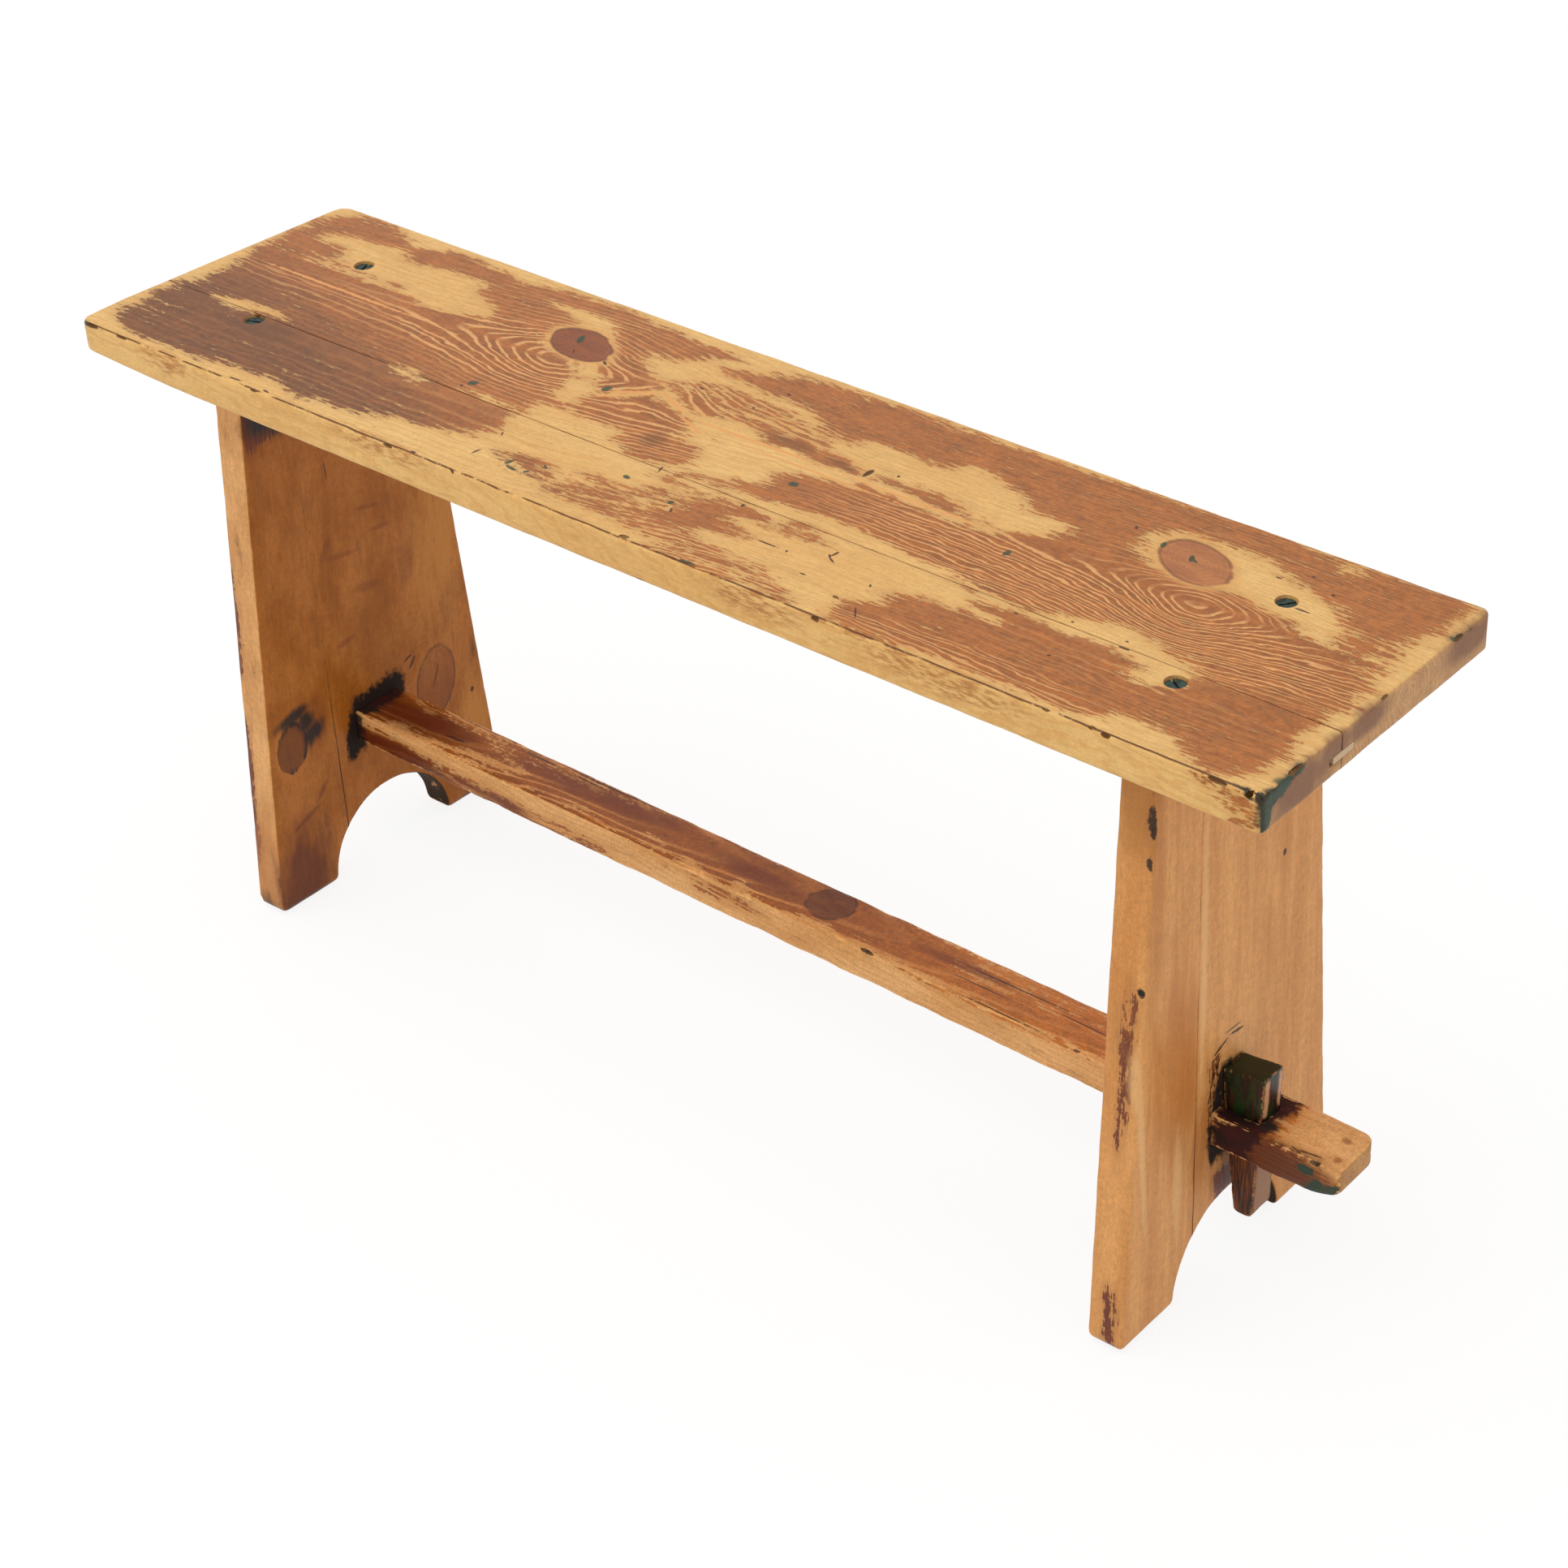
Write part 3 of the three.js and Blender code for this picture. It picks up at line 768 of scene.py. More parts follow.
# Where stain is left on the seat's top, as outlines in X and Y
seatStain = {
    "leftFront": [
        (-489, -40), (-491, -60), (-488, -80), (-491, -92), (-486, -101), (-468, -111), (-440, -112),
        (-400, -111), (-362, -106), (-338, -105), (-322, -102), (-308, -106), (-296, -109),
        (-280, -109), (-266, -104), (-250, -105), (-236, -101), (-222, -96), (-212, -90), (-190, -89),
        (-170, -84), (-150, -80), (-147, -66), (-143, -58), (-147, -46), (-150, -38), (-152, -25),
        (-480, -25),
    ],
    "leftBand": [
        (-484, -45), (-478, -30), (-475, -10), (-478, 2), (-480, 16), (-484, 30), (-483, 40),
        (-420, 41), (-360, 42), (-330, 38), (-320, 34), (-300, 38), (-275, 46), (-240, 50), (-215, 45),
        (-190, 38), (-165, 36), (-152, 24), (-150, 10), (-148, -4), (-138, -14), (-130, -17),
        (-148, -22), (-150, -45),
    ],
    "leftOfKnot": [
        (-262, 40), (-266, 56), (-270, 66), (-292, 72), (-301, 79), (-304, 88), (-298, 96), (-280, 97),
        (-255, 95), (-238, 94), (-226, 86), (-215, 84), (-205, 80), (-214, 70), (-206, 50), (-215, 35),
    ],
    "topStreak": [
        (-393, 93), (-390, 99), (-380, 105), (-366, 108), (-358, 112), (-340, 112), (-322, 110),
        (-300, 107), (-288, 104), (-270, 106), (-250, 110), (-240, 112), (-220, 114), (-190, 115),
        (-160, 112), (-140, 112), (-122, 106), (-100, 107), (-84, 108), (-76, 104), (-84, 98),
        (-95, 91), (-104, 86), (-112, 78), (-128, 76), (-135, 68), (-122, 62), (-114, 52), (-98, 46),
        (-90, 42), (-98, 34), (-112, 22), (-125, 14), (-135, 30), (-146, 40), (-152, 54), (-160, 68),
        (-170, 80), (-180, 92), (-195, 99), (-215, 99), (-236, 94), (-255, 91), (-280, 92), (-300, 91),
        (-340, 89), (-355, 85), (-368, 82), (-382, 87),
    ],
    "topLeft": [
        (-483, 35), (-483, 60), (-482, 98), (-474, 106), (-462, 118), (-448, 119), (-428, 117),
        (-414, 110), (-398, 102), (-380, 98), (-396, 92), (-420, 91), (-440, 90), (-452, 83),
        (-461, 78), (-462, 70), (-440, 68), (-424, 64), (-424, 54), (-440, 50), (-440, 35),
    ],
    "wave": [
        (-130, -4), (-112, 14), (-100, 26), (-90, 33), (-78, 27), (-62, 21), (-48, 18), (-39, 14),
        (-40, 6), (-36, 2), (-44, -3), (-30, -6), (-18, -8), (-16, -14), (-12, -22), (-10, -30),
        (-22, -34), (-42, -37), (-56, -34), (-66, -30), (-73, -22), (-76, -16), (-95, -19), (-118, -17),
        (-132, -10),
    ],
    "rearBand": [
        (-75, 88), (-62, 92), (-50, 97), (-40, 104), (-25, 107), (0, 110), (20, 112), (50, 115),
        (80, 116), (100, 114), (114, 112), (122, 117), (140, 114), (200, 115), (240, 116), (246, 119),
        (290, 121), (360, 121), (400, 119), (440, 122), (482, 121), (490, 112), (493, 104), (489, 94),
        (486, 82), (480, 74), (479, 60), (478, 50), (450, 52), (434, 56), (436, 64), (432, 72),
        (418, 73), (400, 77), (385, 84), (368, 90), (350, 92), (330, 93), (300, 91), (290, 84),
        (287, 74), (290, 64), (287, 56), (270, 50), (255, 48), (243, 52), (235, 57), (220, 55),
        (205, 57), (197, 61), (192, 69), (180, 73), (172, 76), (160, 79), (146, 80), (140, 75),
        (132, 70), (118, 69), (112, 65), (100, 67), (70, 67), (62, 62), (57, 57), (45, 57), (36, 61),
        (22, 68), (12, 75), (0, 77), (-30, 76), (-40, 80), (-60, 82), (-70, 84),
    ],
    "cathedral": [
        (205, 20), (215, 27), (222, 31), (236, 35), (240, 44), (246, 52), (262, 60), (287, 62),
        (298, 52), (305, 44), (319, 41), (336, 43), (350, 45), (362, 47), (372, 46), (385, 42),
        (398, 40), (412, 38), (426, 33), (440, 31), (462, 31), (480, 28), (484, 23), (470, 20),
        (488, 10), (489, 0), (490, -15), (488, -30), (485, -45), (404, -45), (408, -36), (395, -31),
        (380, -31), (368, -26), (350, -21), (332, -22), (312, -28), (292, -34), (280, -41), (238, -41),
        (228, -37), (210, -33), (182, -32), (160, -27), (130, -25), (100, -26), (78, -29), (60, -31),
        (45, -32), (35, -29), (36, -23), (48, -20), (50, -11), (47, -2), (60, 7), (76, 11), (100, 12),
        (104, 17), (126, 19), (140, 16), (176, 14), (196, 18),
    ],
    "midStreak": [
        (-75, 42), (-40, 43), (0, 43), (30, 41), (50, 39), (70, 40), (79, 37), (83, 32), (89, 30),
        (85, 27), (70, 26), (57, 26), (50, 30), (40, 31), (28, 30), (16, 27), (9, 31), (3, 36),
        (-18, 36), (-30, 34), (-38, 30), (-50, 30), (-60, 32), (-68, 36),
    ],
    "rightStreak": [
        (103, 30), (112, 34), (126, 34), (150, 36), (170, 35), (173, 30), (179, 25), (175, 21),
        (160, 20), (150, 22), (138, 26), (118, 29),
    ],
    "frontCore": [
        (28, -56), (46, -53), (56, -60), (66, -70), (60, -80), (48, -84), (34, -88), (20, -92),
        (8, -88), (20, -78), (28, -68),
    ],
    "frontRight": [
        (183, -100), (196, -91), (206, -86), (198, -78), (200, -72), (214, -70), (226, -65), (240, -66),
        (250, -60), (248, -52), (262, -48), (300, -47), (350, -47), (369, -50), (364, -56), (368, -63),
        (378, -67), (388, -66), (394, -63), (400, -60), (402, -50), (401, -36), (486, -36), (481, -55),
        (482, -66), (487, -76), (487, -90), (484, -98), (477, -104), (474, -111), (464, -117),
        (450, -112), (436, -107), (430, -100), (394, -99), (386, -102), (383, -109), (372, -113),
        (340, -114), (262, -113), (240, -119), (205, -120), (190, -118), (182, -108),
    ],
}
# Left in streaks only, with bare wood between
seatStreaks = {
    "midStripes": [
        (-92, 50), (-74, 64), (-60, 67), (-20, 68), (4, 66), (20, 63), (50, 60), (48, 51), (40, 46),
        (30, 43), (-40, 43), (-80, 44),
    ],
    "brownLine": [(-483, 45.5), (-350, 45.5), (-350, 49.5), (-483, 49.5)],
    "link": [(180, 22), (192, 27), (204, 24), (214, 18), (226, 16), (200, 18)],
    "dashes": [(440, 34), (450, 49), (480, 49), (480, 34)],
    "besideWave": [(-52, -34), (-14, -32), (40, -30), (36, -40), (-10, -41), (-50, -40)],
    "frontMiddle": [
        (10, -48), (24, -47), (50, -45), (58, -41), (66, -46), (78, -48), (92, -46), (110, -43),
        (118, -44), (121, -50), (134, -51), (120, -53), (104, -56), (88, -55), (74, -54), (62, -57),
        (66, -66), (76, -71), (86, -75), (80, -79), (64, -81), (52, -84), (56, -90), (44, -92),
        (62, -96), (90, -96), (112, -98), (126, -103), (142, -108), (150, -113), (150, -119),
        (110, -120), (75, -120), (40, -119), (44, -114), (28, -108), (0, -104), (-20, -103),
        (-40, -105), (-62, -104), (-60, -96), (-52, -88), (-40, -85), (-16, -81), (-36, -80),
        (-52, -76), (-46, -71), (-34, -72), (-12, -68), (-6, -62), (4, -56), (-2, -52), (-14, -50),
        (0, -47),
    ],
    "smallKnot": [
        (-124, -88), (-112, -84), (-100, -80), (-88, -78), (-76, -84), (-68, -91), (-76, -97),
        (-92, -98), (-110, -95),
    ],
}
# Worn bare inside the stain
seatWorn = {
    "leftSeam": [
        (-452, -39), (-440, -35), (-430, -31), (-410, -30), (-395, -29), (-386, -33), (-380, -38),
        (-408, -40), (-424, -46), (-437, -44),
    ],
    "seamFleck": [(-265, -41), (-250, -40), (-235, -42), (-231, -47), (-240, -50), (-250, -48)],
    "thinPale": [(-205, -35), (-150, -35), (-150, -38), (-205, -38)],
    "knotBrow": [
        (-236, 92), (-222, 98), (-205, 100), (-190, 98), (-179, 91), (-177, 84), (-186, 80), (-202, 82),
        (-215, 85), (-229, 87),
    ],
    "knotThroat": [
        (-162, 38), (-145, 35), (-140, 27), (-134, 18), (-128, 9), (-124, 0), (-124, -6), (-132, -12),
        (-141, -15), (-148, -8), (-150, 2), (-152, 12), (-156, 22),
    ],
    "rearSlot": [(405, 122), (411, 122), (411, 106), (407, 105)],
    "knotEdge": [
        (288, 80), (296, 88), (314, 91), (334, 88), (347, 82), (356, 72), (361, 60), (370, 52),
        (356, 46), (340, 42), (324, 40), (310, 44), (301, 52), (294, 62), (289, 70),
    ],
    "frontFleck": [(243, -58), (275, -60), (275, -64), (243, -63)],
}

seat = {
    "corners": {"leftFront": 10, "leftRear": 12, "rightRear": 6, "rightFront": 4},
    "ease": 2.8,
    "groove": {"depth": 12.5, "thickness": 5.1, "drop": 2},
    "gaps": (5, 3, 5),
    "thickness": 27,
    "skew": {"from": -440, "run": 60, "slope": 0.075, "middle": -54, "most": 1.9},
    "thin": {"from": -410, "run": 90, "lift": 4},
    "wear": {"reach": 5, "depth": 0.4, "length": 34, "swell": 0.08, "swellLength": 90},
    # torn out of the arrises
    "chips": [
        ((-187, -122, 474), (5, 1.4, 1.8), 0),
        ((36, -122, 448.5), (5, 1.3, 2), 0),
        ((22, -119, 475), (4, 1.8, 1), 8),
        ((180, -122, 473.5), (3.4, 1.4, 2), 0),
        ((176, -97, 475.3), (3.2, 1.2, 1), -12),
        ((394, -121.5, 474), (3.4, 1.4, 2), 0),
        ((384, -120.5, 474.6), (2.4, 1.2, 1.4), 10),
        ((352, -121, 474.6), (3, 1, 1.3), 0),
        ((95, 33, 475.6), (2.2, 6, 1.5), -4),
        ((470, -121.5, 473.5), (7, 1.2, 1.8), 0),
        ((492, -120, 472.6), (4, 2.4, 2.4), 40),
        ((499, -88, 474.4), (1.6, 7, 1.4), 0),
        ((499.4, 84, 474.2), (1.3, 5, 1.7), 0),
        ((499.4, 4, 474.6), (1.2, 4, 1.3), 0),
        ((-486, -121.2, 473.6), (7, 1.2, 1.6), 3),
        ((-455, -121.6, 474), (5, 1, 1.2), 0),
        ((-318, -121.6, 474.4), (4, 0.9, 1.1), 0),
        ((-14, 121, 474.6), (2.4, 1.4, 1.1), 0),
        ((247, 121, 474.6), (3.4, 1.4, 1.2), 0),
        ((304, 121.6, 474.6), (6, 1, 1), 0),
        ((362, 121.6, 474.6), (4, 1, 1), 0),
    ],
    "stain": {
        "+z": {"on": seatStain, "streaks": seatStreaks, "off": seatWorn},
        "-y": {
            "streaks": {
                "farRight": [(456, 476), (503, 476), (503, 450), (484, 452), (474, 462), (460, 468)],
            },
        },
    },
    "grime": {
        "+z": {
            "on": {
                "frontCorner": [
                    (478, -119), (492, -117), (499, -108), (504, -108), (504, -126), (482, -126),
                ],
                "rightArris": [(497, -106), (501, -106), (501, -70), (499, -74)],
                "rearRight": [(498, 88), (502, 88), (502, 100), (498.5, 98)],
                "rearRightToo": [(498.5, 74), (502, 74), (502, 84), (499, 82)],
                "leftCorner": [
                    (-499, -119.5), (-486, -121), (-452, -121.4), (-452, -125), (-502, -125),
                ],
            },
        },
        "+x": {
            "on": {
                "frontCorner": [
                    (-125, 478), (-125, 446), (-117, 446), (-112, 462), (-78, 473), (-74, 478),
                ],
                "rear": [(78, 478), (104, 478), (98, 472), (84, 473)],
                "middle": [(-30, 478), (10, 478), (2, 473), (-20, 474)],
            },
        },
        "-y": {
            "on": {
                "rightCorner": [(488, 478), (504, 478), (504, 446), (498, 446), (496, 462)],
                "leftCorner": [(-504, 478), (-462, 478), (-476, 473), (-494, 472), (-504, 464)],
            },
        },
    },
}

topZ = 475
seatLook = {
    "light": 1.0,
    "cloud": (110, 30, 40),
    "bare": (tint(235, 191, 125), tint(227, 179, 114)),
    "bareLine": tint(216, 160, 96),
    "bareLineShare": 0.42,
    "comb": (11, 2.6, 2.6),
    "stain": (tint(124, 80, 57), tint(166, 102, 61)),
    "stainSlope": 3,
    "stainTurn": (-560, -260),
    "stainWarm": tint(190, 124, 74),
    "stainLine": tint(226, 166, 108),
    "stainLineShare": 0.03,
    # where the rings show through the stain
    "keen": {
        "cathedral": ((300, -8, topZ), (250, 46, 60), 0.85),
        "left": ((-340, 14, topZ), (190, 26, 60), 0.42),
        "wave": ((-70, 4, topZ), (95, 50, 60), 0.8),
        "knotLoops": ((-206, 24, topZ), (130, 44, 60), 0.9),
        "frontMiddle": ((95, -106, topZ), (95, 20, 60), 0.8),
        "frontRight": ((290, -108, topZ), (130, 17, 60), 0.7),
        "stripes": ((-20, 56, topZ), (100, 22, 60), 0.6),
    },
    "stainCover": 0.97,
    "film": 0.3,
    "drift": 16,
    "fray": 12,
    "hair": 18,
    "lineFray": 3,
    "stainSoft": 1.4,
    "blotch": 1.1,
    "end": (tint(200, 151, 109), tint(218, 168, 118)),
    "endCover": 0.92,
    # y and z of the pith, its lean along the board in y and z, ring width
    "piths": [(28, 463, 0, 0, 3.5), (-46, 440, 0.004, 0, 3.2)],
    "seam": -41,
    "seamDark": 0.75,
    # y, width, lowest z, then x where it thickens, the side and by how much
    "dirt": {
        "front": (-120.4, 0.6, 471.4, 360, 490, (1, 0.12)),
        "frontLeft": (-120.4, 0.9, 471, 380, 480, (-1, 0.12)),
        "rear": (121, 0.7, 472, 120, 300, (1, 0.06)),
    },
    "dirtTone": tint(104, 70, 46),
    "spread": (140, -140, 0.36),  # the rings lie further apart from the first x to the second
    "sway": 14,
    "ripple": 8,
    "waves": {"afterKnot": ((-88, 42, topZ), (58, 50, 90), 24)},
    "loops": {
        "first": ((-182, 40, topZ), (43, 46, 90), 7),
        "second": ((357, 12, topZ), (41, 40, 90), 9.5),
    },
    "knots": {
        "first": {"centre": (-181, 58, topZ), "half": (29, 18, 25), "turn": -18, "halo": 0.7,
                  "colour": tint(158, 98, 70), "heart": tint(134, 86, 66)},
        "second": {"centre": (328, 63, topZ), "half": (29.5, 19, 25), "turn": -25, "halo": 0.7,
                   "colour": tint(192, 129, 86), "heart": tint(164, 107, 78)},
    },
    "halo": tint(222, 164, 102),
    "rim": tint(96, 62, 44),
    "marks": {
        "orange": (tint(234, 166, 102), 0.85, onFace(2, topZ, 6, [
            (-104, 27, 30, 2.6, 33), (-70, 31, 26, 2.6, -24), (4, 22.5, 86, 2.3, 0.6),
            (142, 21.5, 92, 2.3, -1), (-388, 20, 130, 2.4, 0), (-112, 15, 22, 2.2, 40),
            (-42, 15, 26, 2, -20), (70, 14, 110, 1.6, 0),
        ])),
        "green": (tint(66, 82, 68), 0.9, onFace(2, topZ, 6, [
            (-186.5, 63, 3.4, 10, 22), (323, 66, 3, 6, 30), (325, 65, 6, 2, -20),
            (95, 33, 3.2, 8.5, -4), (299.5, 70, 3, 6, 12), (-98, -97, 8, 2.4, -12),
            (-104, -92, 2.6, 6, -20), (-86, -95, 4, 2.4, 40), (-80, -83, 5, 1.8, -30),
            (65, -6, 6, 5, 0), (228, 5, 3.6, 6, 0), (-122, 20, 5, 6, -30), (-202, -27, 6, 5, 20),
            (75, -119, 10, 2, 4), (17, -70, 3, 3.4, 0), (-28, -62, 5, 3, -20),
        ])),
        "dark": (tint(84, 56, 38), 0.9, onFace(2, topZ, 6, [
            (113.5, 41, 1.8, 2.2, 0), (-206, -34, 2.4, 2, -40), (24, -77, 1.4, 4, 30),
            (143, -58, 1.6, 6, -10), (146, -65, 6, 1.3, -28), (142, -62, 4, 1.3, -50),
            (101, -73, 14, 1.1, 0), (116.5, -73, 1.3, 2.4, 20), (184.5, -74.5, 2.6, 1.3, -50),
            (197, -104, 1.1, 10, 38), (142, -88, 5, 1.3, 5), (-135, -67, 1, 4, 32),
            (-132, -94, 1.5, 6.5, -8), (-17, -42, 1.2, 6.5, 20), (-70, 58, 3.4, 1.4, -10),
            (-23, 57, 2.4, 1.4, -40), (-16, 85, 2.6, 1.8, 0), (57, -46, 2, 3, 20),
            (319, -74, 2, 1.5, 0), (308, -36, 2, 1.5, 0), (347, -35, 2, 1.5, 0), (395, 91, 3, 1.6, 0),
            (378, 78, 4, 1.4, 0), (416, 80, 2.4, 1.6, 0), (274, 77, 1.8, 3, 30), (350, -42, 6, 1.6, 0),
            (275, -48, 3, 1.4, 0), (410, 54.5, 9, 1.3, 0), (-179, 48, 1, 4.5, 35),
            (-149, 47, 5, 2, -35), (-165, -119, 4, 1.6, 0), (-128, -121, 4, 1.3, -20),
            (-340, -118, 10, 1.4, 3), (-309, -118, 5, 1.6, -8), (247, 121, 4, 2.4, 0),
            (-14, 121, 2.8, 2.4, 0),
        ])),
    },
    "shades": {
        "soot": (tint(110, 78, 56), 0.45, onFace(2, topZ, 12, [
            (-48, -16, 13, 16, 0), (26, 35, 34, 8, 0), (-380, -55, 44, 18, 0), (75, 31, 18, 6, -14),
        ])),
        "dusk": (tint(130, 92, 76), 0.78, onFace(0, 500, 10, [
            (-84, 461, 50, 26, 0), (-48, 466, 30, 16, 0), (-14, 468, 34, 13, 0), (98, 466, 44, 18, 0),
        ])),
    },
    # thin and streaky, on the front
    "films": {
        "red": (tint(186, 122, 76), 0.8, onFace(1, -122, 9, [
            (-410, 468, 40, 13, 0), (-196, 471, 66, 13, 0), (130, 468, 56, 16, 0),
            (276, 466, 96, 16, 0), (215, 474, 70, 6, 0),
        ])),
    },
    "grime": (tint(48, 52, 40), tint(70, 88, 76)),
    "grimeFray": 6,
    "grimeSoft": 1,
    "grimeCover": 0.95,
    "torn": tint(112, 80, 54),
    "fibre": 0.5,
    "mottle": 0.36,
    "grit": 0.3,
    # painted light: how much lighter the faces that look to the front are made
    "frontPaintedLight": 0.12,
    "roughness": 0.5,
    "relief": 0.22,
}


# The left end is sawn out of square, and the board is thinner there
def warpSeat(bm):
    skew, thin = seat["skew"], seat["thin"]
    for vert in bm.verts:
        turned = min(max((skew["from"] - vert.co.x) / skew["run"], 0), 1)
        lifted = min(max((thin["from"] - vert.co.x) / thin["run"], 0), 1)
        lifted *= (topZ - vert.co.z) / seat["thickness"]
        vert.co.x += turned * max(skew["slope"] * (vert.co.y - skew["middle"]), -skew["most"])
        vert.co.z += lifted * thin["lift"]


def makeSeat(material):
    low, high = boxOf("seat_front_board", "seat_rear_board")
    panel = block(low, high)
    ends = {"left": low.x, "right": high.x}
    edges = {"Front": low.y, "Rear": high.y}
    for corner, radius in seat["corners"].items():
        x = next(place for name, place in ends.items() if corner.startswith(name))
        y = next(place for name, place in edges.items() if corner.endswith(name))
        ease(panel, radius, 5, lambda a, b: lies(a, b, 0, x) and lies(a, b, 1, y))
    ease(panel, seat["ease"], 4, onEnds(low, high, 2))
    seamFront, seamRear = boxOf("seat_front_board")[1].y, boxOf("seat_rear_board")[0].y
    groove = seat["groove"]
    middle = (low.z + high.z) / 2 - groove["drop"]
    grooveLow = (low.x - over, seamFront - groove["depth"], middle - groove["thickness"] / 2)
    grooveHigh = (high.x + over, seamRear + groove["depth"], middle + groove["thickness"] / 2)
    beyond = Vector((over, over, over))
    # what each board leaves to the other
    spares = {
        "seat_front_board": ((low.x - over, seamFront, low.z - over), high + beyond),
        "seat_rear_board": (low - beyond, (high.x + over, seamRear, high.z + over)),
    }
    for node, spare in spares.items():
        holes = [screwHole(*spot[:2]) for spot in screw["places"].values()]
        cutters = [block(*spare), block(grooveLow, grooveHigh), *holes]
        board = carve(panel, cutters, [scoops(seat["chips"])])
        tree = arrisPoints(board)
        crosscut(board, seat["gaps"])
        warpSeat(board)
        paint(board, "stain", seat["stain"])
        paint(board, "grime", seat["grime"])
        weather(board, tree, seat["wear"], spare[0][1])  # a seed of its own for each board
        finishPiece(board, node, material)


# Legs

leg = {
    "topShare": 172 / 239,  # width at the top over width at the floor
    "ease": 2.2,
    "arch": 60,
    "flare": 5,  # rounding between the arch and the floor
    "footRound": 9,
    "sole": {"height": 8, "inset": 3.5},  # how the feet are worn in at the floor
    "seams": {"left": -44, "right": -40},
    "seamGap": 0.02,
    "groove": {"depth": 12.5, "thickness": 5.1},
    "gaps": (7, 4, 6),
    "wear": {"reach": 6, "depth": 0.5, "length": 26, "swell": 0.1, "swellLength": 70},
    "chips": {
        "left": [((-407, -119, 6), (3, 3, 4), 0), ((-380, 100, 3), (3, 3, 3), 0)],
        "right": [
            ((407, -91, 402), (2.4, 0.8, 17), 0),
            ((405, -99.5, 280), (3, 2.6, 4), 0),
        ],
    },
    "stain": {
        "left": {
            "-y": {
                "on": {
                    "upper": [(-409, 304), (-404, 300), (-401, 250), (-403, 205), (-409, 196)],
                    "lower": [(-409, 170), (-403, 164), (-401, 120), (-402, 44), (-409, 30)],
                },
            },
            "-x": {"on": {"arris": [(-130, 300), (-90, 300), (-99, 165), (-109, 34), (-130, 34)]}},
            "+x": {"on": {"top": [(-88, 388), (-60, 392), (-48, 410), (-60, 430), (-88, 430)]}},
        },
        "right": {
            "-y": {
                "streaks": {
                    "upper": [(396, 285), (401, 272), (400, 180), (396, 150), (391, 165), (393, 240)],
                    "lower": [(391, 50), (399, 46), (400, 2), (392, 2)],
                },
                "on": {
                    "core": [(395, 276), (400, 262), (401, 205), (398, 160), (394, 176), (394, 240)],
                    "foot": [(392, 46), (398, 42), (398, 8), (392, 10)],
                    "split": [(405, 430), (409, 430), (409, 388), (406, 392)],
                },
            },
            "+x": {
                "streaks": {"torn": [
                    (-26, 176), (-16, 180), (-12, 140), (-14, 96), (-26, 96), (-24, 130),
                ]},
                "on": {"below": [(-19, 80), (2, 84), (4, 62), (-14, 60)]},
            },
        },
    },
    "grime": {
        "left": {
            "+x": {
                "on": {
                    "above": [(-28, 132), (-22, 150), (24, 154), (33, 145), (28, 126), (-20, 126)],
                    "front": [(-35, 98), (-33, 118), (-27, 140), (-14, 144), (-14, 98)],
                },
            },
        },
        "right": {
            "+x": {
                "on": {
                    "front": [
                        (-25, 97), (-26, 125), (-23, 142), (-20, 154), (-15, 168), (-9, 171), (-9, 96),
                    ],
                    "above": [(-12, 138), (-11, 170), (12, 170), (14, 142), (25, 138), (25, 128)],
                    "below": [(-27, 112), (-12, 112), (14, 108), (10, 94), (-22, 92)],
                },
            },
        },
    },
}

innerLeft, outerRight = -380, 407
archSoot = (60, tint(50, 38, 31), 0.95, 0.4)  # radius, tone, share at the rear and at the front
legLook = {
    "upright": True,
    "light": 0.76,
    "cloud": (260, 16, 30),
    "bare": (tint(216, 164, 110), tint(200, 146, 96)),
    "bareLine": tint(186, 128, 78),
    "comb": (30, 2.2, 2.2),
    "stain": (tint(96, 56, 50), tint(108, 66, 54)),
    "stainSlope": 0,
    "stainTurn": (100, 300),
    "stainWarm": tint(118, 74, 58),
    "stainLine": tint(150, 98, 72),
    "stainLineShare": 0.25,
    "stainCover": 0.92,
    "film": 0.25,
    "drift": 8,
    "fray": 9,
    "hair": 9,
    "lineFray": 0.6,
    "stainSoft": 0.7,
    "blotch": 0.8,
    "sway": 26,
    "ripple": 5,
    "end": (tint(96, 66, 46), tint(128, 90, 64)),
    "endCover": 0.6,
    "halo": tint(176, 116, 70),
    "rim": tint(40, 32, 28),
    "seamDark": 0.7,
    "seamFade": (90, 230),
    "grime": (tint(24, 20, 14), tint(34, 38, 28)),
    "grimeFray": 8,
    "grimeSoft": 1.6,
    "grimeDull": 0.9,
    "grimeCover": 0.97,
    "torn": tint(44, 30, 22),
    "fibre": 0.4,
    "mottle": 0.5,
    "grit": 0.4,
    "roughness": 0.5,
    "relief": 0.15,
}
